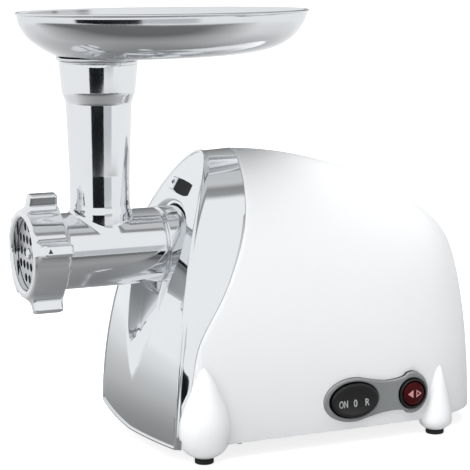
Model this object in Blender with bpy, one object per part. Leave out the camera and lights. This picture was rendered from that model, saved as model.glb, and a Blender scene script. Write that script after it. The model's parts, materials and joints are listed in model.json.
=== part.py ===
"""Electric meat grinder: cast head with feed tray on a plastic motor body.

Lengths in the shape functions are millimetres measured from the front face of
the locking ring (X) and from the axis of the grinding barrel (Y, Z).  The
function world() turns them into metres with the part standing on Z = 0.
+X points from the head to the rear, -Y is the side with the switches.
"""
import math

import bmesh
import bpy
import numpy as np
from mathutils import Matrix, Vector

# ---- driving dimensions (mm) -------------------------------------------------
OVERALL_LENGTH = 387.8
AXIS_HEIGHT = 159.5
GAP = 0.3

BODY_BASE = -146.7
BODY_HALF_WIDTH = 88.0
BODY_REAR = 381.5
BODY_TAPER_START = 227.4
BODY_PLAN_POWER = 3.93
ARCH_POWER = 1.9
WALL = 2.8

FASCIA_WALL = 2.0
FASCIA_PLAN_RADIUS = 505.0
RECESS_FLOOR_X = 131.0
RECESS_TIP_Z = -105.0
RECESS_HALF_WIDTH = 44.0
RECESS_TOP = 37.0
SOCKET_HOLE_R = 32.4

RING_LENGTH = 29.0
RING_OUTER_R = 35.1
RING_OPENING_R = 28.5
LUG_TIP_R = 48.0
LUG_WIDTH = 10.5
LUG_ANGLES_DEG = (24.0, 96.0, 169.0, 250.0, 314.0)

BARREL_R = 30.3
BARREL_BORE_R = 26.6
BARREL_REAR = 160.0
NECK_X = 65.5
NECK_TOP = 149.3

TRAY_WALL = 1.2

FRONT_FOOT_X = 118.1
REAR_FOOT_X = 325.1
FOOT_Y = 85.9
FOOT_R = 7.5

PINION_TEETH = 12
WHEEL_TEETH = 48
FIRST_MODULE = 1.25
SECOND_MODULE = 1.5
COUNTER_Z = -SECOND_MODULE * (PINION_TEETH + WHEEL_TEETH) / 2.0
WHEEL_TURN = -math.pi / 2 + math.pi / WHEEL_TEETH
MOTOR_Z = COUNTER_Z - FIRST_MODULE * (PINION_TEETH + WHEEL_TEETH) / 2.0

ROCKER_X = 248.3
PANEL_Z = -122.8
BUTTON_X = 302.0
PANEL_FACE_Y = -89.0

LATCH_X = 135.2
LATCH_Z = 45.0
LATCH_TILT_DEG = 30.0

# ---- material colours --------------------------------------------------------
MATERIALS = {
    "chrome": ((0.78, 0.79, 0.80), 1.0, 0.08),
    "cast_polished": ((0.74, 0.75, 0.76), 1.0, 0.14),
    "steel": ((0.62, 0.63, 0.64), 1.0, 0.28),
    "white_plastic": ((0.90, 0.91, 0.92), 0.0, 0.22),
    "grey_plastic": ((0.52, 0.53, 0.54), 0.0, 0.35),
    "black_plastic": ((0.02, 0.02, 0.02), 0.0, 0.30),
    "red_plastic": ((0.32, 0.01, 0.02), 0.0, 0.25),
    "rubber": ((0.02, 0.02, 0.02), 0.0, 0.80),
    "copper": ((0.72, 0.36, 0.18), 1.0, 0.35),
    "nylon": ((0.82, 0.80, 0.72), 0.0, 0.45),
    "bronze": ((0.55, 0.38, 0.18), 1.0, 0.35),
    "carbon": ((0.05, 0.05, 0.05), 0.0, 0.60),
}


def clear_scene():
    for obj in list(bpy.data.objects):
        bpy.data.objects.remove(obj, do_unlink=True)


def make_collection(name):
    collection = bpy.data.collections.new(name)
    bpy.context.scene.collection.children.link(collection)
    return collection


clear_scene()
PARTS = make_collection("meat_grinder")
CUTTERS = make_collection("cutters")


def make_material(name):
    colour, metallic, roughness = MATERIALS[name]
    material = bpy.data.materials.new(name)
    material.use_nodes = True
    shader = material.node_tree.nodes["Principled BSDF"]
    shader.inputs["Base Color"].default_value = (*colour, 1.0)
    shader.inputs["Metallic"].default_value = metallic
    shader.inputs["Roughness"].default_value = roughness
    return material


SLOTS = {name: make_material(name) for name in MATERIALS}


def world(point):
    x, y, z = point
    return Vector((
        (x - OVERALL_LENGTH / 2.0) * 0.001,
        y * 0.001,
        (z + AXIS_HEIGHT) * 0.001,
    ))


def bezier(p0, p1, p2, p3, t):
    s = 1.0 - t
    return tuple(
        s ** 3 * a + 3 * s * s * t * b + 3 * s * t * t * c + t ** 3 * d
        for a, b, c, d in zip(p0, p1, p2, p3)
    )


def lerp(a, b, t):
    return tuple(u + (v - u) * t for u, v in zip(a, b))


# ---- mesh helpers ------------------------------------------------------------
def finish_mesh(name, mesh, slot, cutter=False):
    work = bmesh.new()
    work.from_mesh(mesh)
    bmesh.ops.remove_doubles(work, verts=work.verts, dist=2e-6)
    bmesh.ops.dissolve_degenerate(work, edges=work.edges, dist=1e-6)
    bmesh.ops.recalc_face_normals(work, faces=work.faces)
    if work.calc_volume(signed=True) < 0:
        bmesh.ops.reverse_faces(work, faces=work.faces)
    work.to_mesh(mesh)
    work.free()
    obj = bpy.data.objects.new(name, mesh)
    if cutter:
        obj.hide_render = True
        obj.display_type = "WIRE"
        CUTTERS.objects.link(obj)
    else:
        mesh.materials.append(SLOTS[slot])
        PARTS.objects.link(obj)
    return obj


def ring_solid(name, rings, slot=None, closed=False, cutter=False):
    """Closed body through rings of equal point count; closed joins last to first."""
    count = len(rings[0])
    verts = [world(p) for ring in rings for p in ring]
    faces = []
    spans = len(rings) if closed else len(rings) - 1
    for i in range(spans):
        a = i * count
        b = ((i + 1) % len(rings)) * count
        for j in range(count):
            k = (j + 1) % count
            faces.append((a + j, a + k, b + k, b + j))
    if not closed:
        faces.append(tuple(range(count))[::-1])
        faces.append(tuple(range((len(rings) - 1) * count, len(rings) * count)))
    mesh = bpy.data.meshes.new(name)
    mesh.from_pydata(verts, [], faces)
    return finish_mesh(name, mesh, slot, cutter)


def circle(count, radius, turn=0.0):
    step = 2 * math.pi / count
    return [
        (radius * math.cos(turn + step * i), radius * math.sin(turn + step * i))
        for i in range(count)
    ]


def lathe(name, profile, slot=None, axis="X", centre=(0, 0, 0), count=32, closed=False,
          cutter=False):
    """Turn (position along the axis, radius) pairs about an axis through centre."""
    cx, cy, cz = centre
    rings = []
    for along, radius in profile:
        ring = []
        for a, b in circle(count, max(radius, 0.02)):
            if axis == "X":
                ring.append((cx + along, cy + a, cz + b))
            elif axis == "Y":
                ring.append((cx + a, cy + along, cz + b))
            else:
                ring.append((cx + a, cy + b, cz + along))
        rings.append(ring)
    return ring_solid(name, rings, slot, closed, cutter)


def prism(name, outlines, start, end, slot=None, axis="X", centre=(0, 0, 0), cutter=False):
    """Extrude an outline with holes; outlines[0] is the outer edge."""
    curve = bpy.data.curves.new(name + "_curve", "CURVE")
    curve.dimensions = "2D"
    curve.fill_mode = "BOTH"
    curve.extrude = abs(end - start) * 0.0005
    for outline in outlines:
        spline = curve.splines.new("POLY")
        spline.points.add(len(outline) - 1)
        for point, (a, b) in zip(spline.points, outline):
            point.co = (a * 0.001, b * 0.001, 0.0, 1.0)
        spline.use_cyclic_u = True
    source = bpy.data.objects.new(name + "_source", curve)
    bpy.context.scene.collection.objects.link(source)
    bpy.context.view_layer.update()
    graph = bpy.context.evaluated_depsgraph_get()
    mesh = bpy.data.meshes.new_from_object(source.evaluated_get(graph))
    bpy.data.objects.remove(source, do_unlink=True)
    if axis == "X":
        turn = Matrix(((0, 0, 1), (1, 0, 0), (0, 1, 0))).to_4x4()
    elif axis == "Y":
        turn = Matrix(((1, 0, 0), (0, 0, 1), (0, 1, 0))).to_4x4()
    else:
        turn = Matrix.Identity(4)
    cx, cy, cz = centre
    middle = (start + end) / 2.0
    shift = {
        "X": (cx + middle, cy, cz),
        "Y": (cx, cy + middle, cz),
        "Z": (cx, cy, cz + middle),
    }[axis]
    mesh.transform(Matrix.Translation(world(shift)) @ turn)
    mesh.name = name
    mesh.materials.clear()
    return finish_mesh(name, mesh, slot, cutter)


def box(name, low, high, slot=None, cutter=False):
    x0, y0, z0 = low
    x1, y1, z1 = high
    rings = [
        [(x, y0, z0), (x, y1, z0), (x, y1, z1), (x, y0, z1)]
        for x in (x0, x1)
    ]
    return ring_solid(name, rings, slot, cutter=cutter)


def boolean(obj, cutter, operation="DIFFERENCE"):
    modifier = obj.modifiers.new(operation.lower() + "_" + cutter.name, "BOOLEAN")
    modifier.operation = operation
    modifier.solver = "EXACT"
    modifier.object = cutter


def set_origin(obj, point):
    """Put the object's origin on its joint axis without moving the shape."""
    target = world(point)
    obj.data.transform(Matrix.Translation(-target))
    obj.location = target


# ---- body shape --------------------------------------------------------------
def side_profile():
    """Top line of the body in the centre plane, front to rear, as (x, z)."""
    points = [(60.0, 74.9), (120.0, 75.4)]
    for i in range(17):
        t = i / 16.0
        points.append(bezier((150.0, 75.6), (209.6, 76.8), (273.0, 66.1), (342.2, 25.3), t))
    for i in range(1, 9):
        t = i / 8.0
        points.append(bezier((342.2, 25.3), (355.0, 17.5), (378.4, 2.0), (378.9, -12.0), t))
    for i in range(1, 5):
        points.append(lerp((378.9, -12.0), (381.3, BODY_BASE + 5.0), i / 4.0))
    return points


PROFILE = side_profile()


def body_top(x):
    return float(np.interp(x, [p[0] for p in PROFILE], [p[1] for p in PROFILE]))


def body_half_width(x):
    u = min(max((x - BODY_TAPER_START) / (BODY_REAR - BODY_TAPER_START), 0.0), 1.0)
    return BODY_HALF_WIDTH * (1.0 - u ** BODY_PLAN_POWER) ** (1.0 / BODY_PLAN_POWER)


def arch(x, turn, inset=0.0):
    """Point of the body section at x; turn runs 0 (near side) to pi (far side)."""
    length = BODY_REAR - BODY_TAPER_START
    outer_x = x
    if x > BODY_TAPER_START:
        outer_x = BODY_TAPER_START + (x - BODY_TAPER_START) * length / (length - inset)
    half = body_half_width(outer_x) - inset
    top = body_top(outer_x) - inset
    c = math.cos(turn)
    s = max(math.sin(turn), 0.0)
    y = -math.copysign(abs(c) ** (2.0 / ARCH_POWER), c) * half
    z = BODY_BASE + (top - BODY_BASE) * s ** (2.0 / ARCH_POWER)
    return (x, y, z)


def seam_x(z):
    """Side view of the line where the chrome band meets the white casing."""
    points = [
        bezier((98.0, -147.0), (97.0, -93.0), (168.0, -12.0), (176.6, 76.0), i / 24.0)
        for i in range(25)
    ]
    return float(np.interp(z, [p[1] for p in points], [p[0] for p in points]))


def seam_point(turn, inset, shift):
    x = 140.0
    for _ in range(6):
        x = seam_x(arch(x, turn)[2])
    return arch(x + shift, turn, inset)


CASING_COLUMNS = 24
CASING_REAR_X = [300, 320, 335, 347, 357, 365, 371.5, 376, 378.9, 379.9, 380.7, 381.3]


def casing_rows(inset, shift=GAP / 2.0):
    """Grid of the casing wall from the seam to the rear; inset moves it inwards."""
    turns = [math.pi * j / CASING_COLUMNS for j in range(CASING_COLUMNS + 1)]
    rows = []
    for t in (0.0, 0.2, 0.42, 0.7, 1.0):
        row = []
        for turn in turns:
            front = seam_point(turn, inset, shift)[0]
            row.append(arch(front + (275.0 - front) * t, turn, inset))
        rows.append(row)
    length = BODY_REAR - BODY_TAPER_START
    for x in CASING_REAR_X:
        inner_x = BODY_TAPER_START + (x - BODY_TAPER_START) * (length - inset) / length
        rows.append([arch(inner_x, turn, inset) for turn in turns])
    return rows


def grid_faces(rows, start, flip):
    columns = len(rows[0])
    faces = []
    for i in range(len(rows) - 1):
        for j in range(columns - 1):
            a = start + i * columns + j
            face = (a, a + 1, a + columns + 1, a + columns)
            faces.append(face[::-1] if flip else face)
    return faces


def main_casing():
    outer = casing_rows(0.0)
    inner = casing_rows(WALL)
    columns = len(outer[0])
    last = (len(outer) - 1) * columns
    shift = len(outer) * columns
    verts = [world(p) for rows in (outer, inner) for row in rows for p in row]
    faces = grid_faces(outer, 0, False) + grid_faces(inner, shift, True)
    for i in range(len(outer) - 1):
        for j in (0, columns - 1):
            a = i * columns + j
            faces.append((a, a + columns, shift + a + columns, shift + a))
    for j in range(columns - 1):
        faces.append((j, j + 1, shift + j + 1, shift + j))
    faces.append(tuple(range(last, last + columns)))
    faces.append(tuple(range(shift + last, shift + last + columns)))
    faces.append((last, last + columns - 1, shift + last + columns - 1, shift + last))
    mesh = bpy.data.meshes.new("main_casing")
    mesh.from_pydata(verts, [], faces)
    casing = finish_mesh("main_casing", mesh, "white_plastic")
    for x, side in SCREW_SPOTS:
        boss = lathe(
            "cut_boss_%d_%d" % (x, side),
            [(-142.6, 1.9), (-142.6, 5.5), (-120.0, 5.5), (-120.0, 0.0), (-126.0, 0.0),
             (-126.0, 1.9)],
            axis="Z", centre=(x, side * SCREW_Y[x], 0), count=12, closed=True, cutter=True,
        )
        boolean(casing, boss, "UNION")
    panel_hole = prism("cut_panel_hole", [panel_outline(GAP)], -110.0, -70.0, axis="Y",
                       centre=(0, 0, PANEL_Z), cutter=True)
    boolean(casing, panel_hole)
    gland_hole = lathe("cut_gland_hole", [(360.0, 6.0), (400.0, 6.0)], centre=(0, 0, -118.0),
                       count=20, cutter=True)
    boolean(casing, gland_hole)
    return casing


SCREW_SPOTS = [(150, -1), (150, 1), (352, -1), (352, 1)]
SCREW_Y = {150: 80.5, 352: 68.3}


# ---- chrome front ------------------------------------------------------------
def front_x(y, z):
    """Front surface of the fascia, leaning back towards the top."""
    points = [
        bezier((89.0, -152.0), (89.0, -90.0), (103.0, 4.0), (152.0, 74.0), i / 32.0)
        for i in range(33)
    ]
    centre = float(np.interp(z, [p[1] for p in points], [p[0] for p in points]))
    return centre + y * y / (2.0 * FASCIA_PLAN_RADIUS)


def ridge(t):
    """Edge between front panel and band; t runs 0 (near foot) to 1 (far foot)."""
    half = min(t, 1.0 - t) * 2.0
    y, z = bezier((81.0, BODY_BASE), (88.0, -72.0), (52.0, 70.0), (0.0, 74.0), half)
    y = -y if t < 0.5 else y
    return (front_x(y, z), y, z)


def teardrop(v):
    """Recess outline; v runs 0 (lower tip) to 1 (top); returns (half width, z)."""
    if v < 0.6:
        z = RECESS_TIP_Z * (1.0 - v / 0.6)
        return (RECESS_HALF_WIDTH * (1.0 - (z / RECESS_TIP_Z) ** 1.15), z)
    a = (v - 0.6) / 0.4 * math.pi / 2.0
    return (RECESS_HALF_WIDTH * math.cos(a), RECESS_TOP * math.sin(a))


def recess_floor_x(z):
    tip_x = front_x(0.0, RECESS_TIP_Z) + 1.0
    return float(np.interp(z, [RECESS_TIP_Z, -34.0], [tip_x, RECESS_FLOOR_X]))


RIDGE_COLUMNS = CASING_COLUMNS
SILL_COLUMNS = 8


def fascia_column(k):
    """One radial line from the socket hole out to the seam, and its inner end point."""
    if k <= RIDGE_COLUMNS:
        t = k / RIDGE_COLUMNS
        edge = ridge(t)
        near = min(t, 1.0 - t) * 2.0
        v = 0.22 + 0.78 * near
        side = -1.0 if t < 0.5 else 1.0
        seam = seam_point(math.pi * t, 0.0, -GAP)
        inner_end = seam_point(math.pi * t, FASCIA_WALL, -GAP)
        inner_end = (inner_end[0], inner_end[1], max(inner_end[2], BODY_BASE + FASCIA_WALL))
        band = [lerp(edge, seam, s) for s in (0.3, 0.65, 1.0)]
    else:
        t = (k - RIDGE_COLUMNS) / SILL_COLUMNS
        y = 81.0 * (1.0 - 2.0 * t)
        side = 1.0 if y > 0 else -1.0
        z = BODY_BASE - 3.5 * (1.0 - abs(y) / 81.0)
        edge = (front_x(y, z), y, z)
        v = 0.22 * abs(y) / 81.0
        band = [lerp(edge, (97.8, y, BODY_BASE), s) for s in (0.3, 0.65, 1.0)]
        inner_end = (97.8, y, BODY_BASE + FASCIA_WALL)
    half, zt = teardrop(v)
    points = []
    angle = math.pi * (v - 0.5)
    hole = (side * SOCKET_HOLE_R * math.cos(angle), SOCKET_HOLE_R * math.sin(angle))
    points.append((RECESS_FLOOR_X + 6.0, *hole))
    points.append((RECESS_FLOOR_X, *hole))
    for share, sink in ((0.45, 1.0), (0.72, 0.5), (1.0, 0.0)):
        y = hole[0] + (side * half - hole[0]) * share
        z = hole[1] + (zt - hole[1]) * share
        x = front_x(y, z)
        floor = max(recess_floor_x(z), x + 0.6)
        points.append((x + (floor - x) * sink, y, z))
    rim = points[-1]
    for s in (0.35, 0.7):
        y = rim[1] + (edge[1] - rim[1]) * s
        z = rim[2] + (edge[2] - rim[2]) * s
        points.append((front_x(y, z), y, z))
    points.append(edge)
    points.extend(band)
    return points, inner_end


def front_fascia():
    count = RIDGE_COLUMNS + SILL_COLUMNS
    lines = [fascia_column(k) for k in range(count)]
    columns = [line[0] for line in lines]
    rows = len(columns[0])
    grid = np.array(columns)
    normals = np.zeros_like(grid)
    for k in range(count):
        for i in range(rows):
            along = grid[k][min(i + 1, rows - 1)] - grid[k][max(i - 1, 0)]
            across = grid[(k + 1) % count][i] - grid[k - 1][i]
            normal = np.cross(along, across)
            normals[k][i] = normal / max(np.linalg.norm(normal), 1e-9)
    inner = grid - normals * FASCIA_WALL
    for k in range(count):
        inner[k][-1] = lines[k][1]
        inner[k][-2][0] = min(inner[k][-2][0], grid[k][-2][0])
    rings = [[tuple(grid[k][i]) for k in range(count)] for i in range(rows)]
    rings += [[tuple(inner[k][i]) for k in range(count)] for i in reversed(range(rows))]
    fascia = ring_solid("front_fascia", rings, "chrome", closed=True)
    boolean(fascia, latch_prism("cut_latch_hole", 6.0 + GAP, 6.4 + GAP, -12.0, 12.0, cutter=True))
    return fascia


def latch_frame(a, b, out):
    """Point near the latch: a across, b up the slope, out along its outward normal."""
    tilt = math.radians(LATCH_TILT_DEG)
    x = LATCH_X + b * math.sin(tilt) - out * math.cos(tilt)
    z = LATCH_Z + b * math.cos(tilt) + out * math.sin(tilt)
    return (x, a, z)


def latch_prism(name, half_a, half_b, low, high, slot=None, cutter=False):
    corners = [(-1, -1), (1, -1), (1, 1), (-1, 1)]
    rings = [
        [latch_frame(sa * half_a, sb * half_b, out) for sa, sb in corners]
        for out in (low, high)
    ]
    return ring_solid(name, rings, slot, cutter=cutter)


def release_button():
    """Wedge-shaped push button on a stem through the fascia."""
    sections = [
        (-8.5, 3.5, 2.6, 0.0), (-5.0, 3.5, 2.6, 0.0), (-5.0, 5.7, 6.2, 0.0),
        (4.0, 5.7, 6.2, 0.0), (8.0, 5.2, 5.2, 0.4), (8.8, 4.4, 4.4, 0.5),
    ]
    rings = []
    for out, half_a, half_b, lift in sections:
        ring = []
        for sa, sb in ((-1, -1), (1, -1), (1, 1), (-1, 1)):
            ring.append(latch_frame(sa * half_a, sb * half_b + lift, out))
        rings.append(ring)
    return ring_solid("release_button", rings, "chrome")


# ---- grinding head -----------------------------------------------------------
def ring_outline(arc_points=3):
    """Outer outline of the locking ring with its five lugs, as (y, z)."""
    points = []
    half = LUG_WIDTH / 2.0
    start = math.asin((half + 3.5) / RING_OUTER_R)
    for i, degrees in enumerate(LUG_ANGLES_DEG):
        base = math.radians(degrees)
        following = LUG_ANGLES_DEG[(i + 1) % len(LUG_ANGLES_DEG)]
        spacing = math.radians((following - degrees) % 360.0)
        lug = [(RING_OUTER_R, -half - 3.5), (RING_OUTER_R + 2.2, -half - 0.6),
               (LUG_TIP_R - 2.5, -half + 0.6), (LUG_TIP_R, -half + 2.6),
               (LUG_TIP_R, half - 2.6), (LUG_TIP_R - 2.5, half - 0.6),
               (RING_OUTER_R + 2.2, half + 0.6), (RING_OUTER_R, half + 3.5)]
        for reach, side in lug:
            if abs(side) > half + 1.0:
                reach = math.sqrt(RING_OUTER_R ** 2 - side ** 2)
            a = base + math.atan2(side, reach)
            r = math.hypot(reach, side)
            points.append((r * math.cos(a), r * math.sin(a)))
        for k in range(1, arc_points + 1):
            a = base + start + (spacing - 2 * start) * k / (arc_points + 1)
            points.append((RING_OUTER_R * math.cos(a), RING_OUTER_R * math.sin(a)))
    return points


def locking_ring():
    outline = ring_outline()
    angles = [math.atan2(b, a) for a, b in outline]

    def section(x, scale_lug, radius=None):
        ring = []
        for (a, b), angle in zip(outline, angles):
            r = math.hypot(a, b)
            if radius is not None:
                r = radius
            elif r > RING_OUTER_R + 0.01:
                r = RING_OUTER_R + (r - RING_OUTER_R) * scale_lug
            ring.append((x, r * math.cos(angle), r * math.sin(angle)))
        return ring

    rings = [
        section(1.2, 0, RING_OPENING_R), section(0.0, 0, RING_OPENING_R + 1.4),
        section(0.0, 0, RING_OUTER_R - 2.2), section(1.0, 0, RING_OUTER_R - 0.4),
        section(3.0, 0.35), section(5.5, 0.86), section(9.0, 1.0),
        section(24.5, 1.0), section(27.0, 0.86), section(27.6, 0.1),
        section(RING_LENGTH, 0, RING_OUTER_R - 0.5), section(RING_LENGTH, 0, 33.4),
        section(5.8, 0, 33.4), section(5.8, 0, RING_OPENING_R),
    ]
    return ring_solid("locking_ring", rings, "cast_polished", closed=True)


PLATE_HOLES = [
    # (row height, hole positions along the row)
    (0.0, (-19.4, -10.2, 10.2, 19.4)),
    (10.3, (-21.6, -13.0, -4.4, 4.4, 13.0, 21.6)),
    (-10.3, (-21.6, -13.0, -4.4, 4.4, 13.0, 21.6)),
    (20.4, (-9.0, 0.0, 9.0)),
    (-20.4, (-9.0, 0.0, 9.0)),
]


def cutting_plate():
    outer = circle(48, 30.9)
    outer = [p for p in outer if not (abs(p[0]) < 2.5 and p[1] < 0)]
    notch = [(-2.0, -30.8), (-2.0, -28.2), (2.0, -28.2), (2.0, -30.8)]
    first = next(i for i, p in enumerate(outer) if p[1] < 0 and p[0] > 0)
    outer = outer[first:] + outer[:first] + notch
    outer = sorted(outer[:-4], key=lambda p: (math.atan2(p[1], p[0]) + math.pi / 2) % (2 * math.pi))
    outer = outer + notch
    holes = [circle(16, 4.4)]
    for row, columns in PLATE_HOLES:
        for column in columns:
            holes.append([(column + p, row + q) for p, q in circle(12, 3.4)])
    return prism("cutting_plate", [outer] + holes, 6.1, 11.1, "steel")


def cutting_blade():
    outline = []
    for arm in range(4):
        base = math.pi / 2 * arm
        for reach, side in ((7.5, -7.5), (9.0, -4.4), (27.0, -3.2), (28.2, 0.0), (26.0, 3.0),
                            (9.0, 4.8)):
            outline.append((
                reach * math.cos(base) - side * math.sin(base),
                reach * math.sin(base) + side * math.cos(base),
            ))
    square = [(-4.3, -4.3), (4.3, -4.3), (4.3, 4.3), (-4.3, 4.3)]
    return prism("cutting_blade", [outline, square], 11.4, 16.4, "steel")


def feed_screw():
    """Auger: round root with one flight, square nose, pin and square tongue."""
    lobes = [(0, 25.4), (9, 25.4), (26, 12.0), (52, 9.0), (100, 9.0), (148, 9.0), (180, 9.0),
             (212, 9.0), (260, 9.0), (308, 9.0), (334, 12.0), (351, 25.4)]

    def round_ring(x, r):
        return [(x, r * math.cos(math.radians(a)), r * math.sin(math.radians(a)))
                for a, _ in lobes]

    def square_ring(x, half):
        ring = []
        for a, _ in lobes:
            c = math.cos(math.radians(a + 9.0 - 4.5))
            s = math.sin(math.radians(a + 9.0 - 4.5))
            reach = half / max(abs(c), abs(s))
            ring.append((x, reach * c, reach * s))
        return ring

    rings = [round_ring(4.6, 3.4), round_ring(5.4, 4.0), round_ring(11.2, 4.0)]
    rings += [square_ring(11.2, 4.0), square_ring(16.9, 4.0), round_ring(16.9, 9.0)]
    turns, steps = 3.0, 54
    for i in range(steps + 1):
        u = i / steps
        grow = min(u * 9.0, (1.0 - u) * 9.0, 1.0)
        twist = 360.0 * turns * u
        ring = []
        for a, r in lobes:
            radius = 9.0 + (r - 9.0) * max(grow, 0.02)
            angle = math.radians(a + twist)
            ring.append((19.0 + 121.0 * u, radius * math.cos(angle), radius * math.sin(angle)))
        rings.append(ring)
    rings += [round_ring(142.0, 8.6), round_ring(161.5, 8.6)]
    rings += [square_ring(161.6, 4.4), square_ring(176.0, 4.4)]
    return ring_solid("feed_screw", rings, "cast_polished")


def grinder_head():
    """Cast barrel and feed neck in one piece."""
    barrel = lathe(
        "grinder_head",
        [(6.2, 33.0), (27.5, 33.0), (29.6, BARREL_R + 0.4), (31.0, BARREL_R), (111.5, BARREL_R),
         (112.2, BARREL_R - 0.7), (113.0, BARREL_R - 0.7), (113.7, BARREL_R + 0.3),
         (BARREL_REAR - 1.0, BARREL_R + 0.3), (BARREL_REAR, BARREL_R - 0.7)],
        "cast_polished", count=40,
    )
    neck = lathe(
        "cut_neck",
        [(5.0, 24.5), (24.0, 24.5), (30.5, 24.6), (36.0, 23.6), (60.0, 23.9), (116.6, 25.9),
         (117.4, 26.1), (124.0, 28.7), (125.0, 28.9), (NECK_TOP - 1.0, 31.0), (NECK_TOP, 30.3)],
        axis="Z", centre=(NECK_X, 0, 0), count=36, cutter=True,
    )
    bore = lathe(
        "cut_barrel_bore",
        [(0.0, 31.2), (16.6, 31.2), (16.6, BARREL_BORE_R), (146.0, BARREL_BORE_R),
         (146.0, 9.0), (170.0, 9.0)],
        count=32, cutter=True,
    )
    throat = lathe(
        "cut_neck_bore",
        [(0.0, 20.5), (125.2, 22.9), (125.2, 26.6), (155.0, 26.6)],
        axis="Z", centre=(NECK_X, 0, 0), count=28, cutter=True,
    )
    boolean(barrel, neck, "UNION")
    boolean(barrel, bore)
    boolean(barrel, throat)
    key = box("cut_plate_key", (6.6, -1.6, -31.8), (10.6, 1.6, -28.7), cutter=True)
    boolean(barrel, key, "UNION")
    return barrel


# ---- tray --------------------------------------------------------------------
SPOUT = (NECK_X - 26.0, NECK_X + 26.0, 26.0)
TRAY_SECTIONS = [
    # (height, front end, rear end, half width)
    (150.4, 39.0, 98.0, 28.0), (151.2, 36.6, 136.0, 38.0), (152.4, 33.6, 182.0, 48.0),
    (155.2, 28.0, 206.0, 54.5), (160.0, 19.6, 221.5, 60.3), (167.5, 9.8, 232.5, 64.8),
    (177.0, 3.4, 240.0, 67.2), (184.0, 1.5, 243.0, 68.1), (186.0, 1.2, 243.8, 68.3),
]


def tray_ring(front, rear, half_width, z, grow, count):
    """Oval with its ends at front and rear, made larger all round by grow."""
    centre = (front + rear) / 2.0
    a = (rear - front) / 2.0 + grow
    b = half_width + grow
    return [(centre + a * p, b * q, z) for p, q in circle(count, 1.0)]


def hopper_tray():
    count = 36
    inner = [tray_ring(*SPOUT, z, -TRAY_WALL, count) for z in (126.0, 149.6)]
    for z, front, rear, half in TRAY_SECTIONS:
        inner.append(tray_ring(front, rear, half, z + TRAY_WALL, -TRAY_WALL, count))
    _, front, rear, half = TRAY_SECTIONS[-1]
    rim = [tray_ring(front, rear, half, z, grow, count)
           for z, grow in ((187.2, 0.3), (186.6, 1.0), (185.0, 0.9), (184.6, 0.2))]
    outer = []
    for z, front, rear, half in reversed(TRAY_SECTIONS[:-2]):
        outer.append(tray_ring(front, rear, half, z, 0.0, count))
    collar = [tray_ring(*SPOUT, z, grow, count)
              for z, grow in ((151.2, 7.0), (150.2, 6.6), (149.7, 5.6), (149.7, 0.3), (126.0, 0.3))]
    return ring_solid("hopper_tray", inner + rim + outer + collar, "steel", closed=True)


# ---- drive -------------------------------------------------------------------
def gear_outline(teeth, module, turn, backlash=0.10):
    """Involute outline, 20 degree pressure angle, one tooth centred at turn."""
    alpha = math.radians(20.0)
    pitch_r = teeth * module / 2.0
    base_r = pitch_r * math.cos(alpha)
    tip_r = pitch_r + 0.70 * module
    root_r = pitch_r - 0.95 * module
    involute = math.tan(alpha) - alpha
    half_pitch = math.pi / (2 * teeth) * (1.0 - backlash)

    def half_angle(r):
        if r <= base_r:
            return half_pitch + involute
        a = math.acos(base_r / r)
        return half_pitch + involute - (math.tan(a) - a)

    radii = [root_r, tip_r]
    points = []
    for i in range(teeth):
        centre = turn + 2 * math.pi * i / teeth
        for r in radii:
            points.append((r, centre - half_angle(r)))
        for r in reversed(radii):
            points.append((r, centre + half_angle(r)))
    return [(r * math.cos(a), r * math.sin(a)) for r, a in points]


def gear(name, teeth, module, turn, bore, start, end, z, slot):
    outlines = [gear_outline(teeth, module, turn), circle(20, bore)]
    return prism(name, outlines, start, end, slot, centre=(0, 0, z))


def housing_outline(offset, count=24):
    """Gear case outline: round top, sides running down to a flat foot."""
    points = []
    for i in range(count // 2 + 1):
        a = math.pi * i / (count // 2)
        points.append(((42.0 + offset) * math.cos(a), (42.0 + offset) * math.sin(a)))
    low = -142.6 - offset
    for y, z in ((-40.0 - offset, -50.0), (-34.0 - offset, -100.0), (-30.0 - offset, low),
                 (-12.0, low), (12.0, low), (30.0 + offset, low), (34.0 + offset, -100.0),
                 (40.0 + offset, -50.0)):
        points.append((y, z))
    return points


def gearbox_housing():
    outer = housing_outline(0.0)
    inner = housing_outline(-3.5)
    count = len(outer)
    angles = [math.pi * 2 * i / count for i in range(count)]
    hole = [(11.5 * math.cos(a), 11.5 * math.sin(a)) for a in angles]
    rings = [
        [(171.0, y, z) for y, z in hole], [(171.0, y, z) for y, z in outer],
        [(211.8, y, z) for y, z in outer], [(211.8, y, z) for y, z in inner],
        [(175.0, y, z) for y, z in inner], [(175.0, y, z) for y, z in hole],
    ]
    housing = ring_solid("gearbox_housing", rings, "grey_plastic", closed=True)
    pocket = lathe("cut_counter_pocket", [(173.0, 4.4), (180.0, 4.4)], centre=(0, 0, COUNTER_Z),
                   count=16, cutter=True)
    boss = lathe("cut_counter_boss", [(172.0, 8.0), (178.5, 8.0)], centre=(0, 0, COUNTER_Z),
                 count=16, cutter=True)
    boolean(housing, boss, "UNION")
    boolean(housing, pocket)
    return housing


def gearbox_cover():
    holes = [
        [(a, b + z) for a, b in circle(20, r)]
        for r, z in ((4.4, COUNTER_Z), (9.3, MOTOR_Z))
    ]
    holes += [[(a + y, b + MOTOR_Z) for a, b in circle(12, 2.3)] for y in (-36.5, 36.5)]
    outline = [(y, z) for y, z in housing_outline(0.0)]
    wide = [(y if z > -70 else y * 1.32, z) for y, z in outline]
    return prism("gearbox_cover", [wide] + holes, 212.1, 216.1, "grey_plastic")


def output_shaft():
    shaft = lathe(
        "output_shaft",
        [(163.0, 10.2), (164.0, 11.1), (208.0, 11.1), (209.0, 10.2)],
        "steel", count=24,
    )
    socket = box("cut_drive_socket", (150.0, -4.8, -4.8), (178.0, 4.8, 4.8), cutter=True)
    boolean(shaft, socket)
    return shaft


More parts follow.
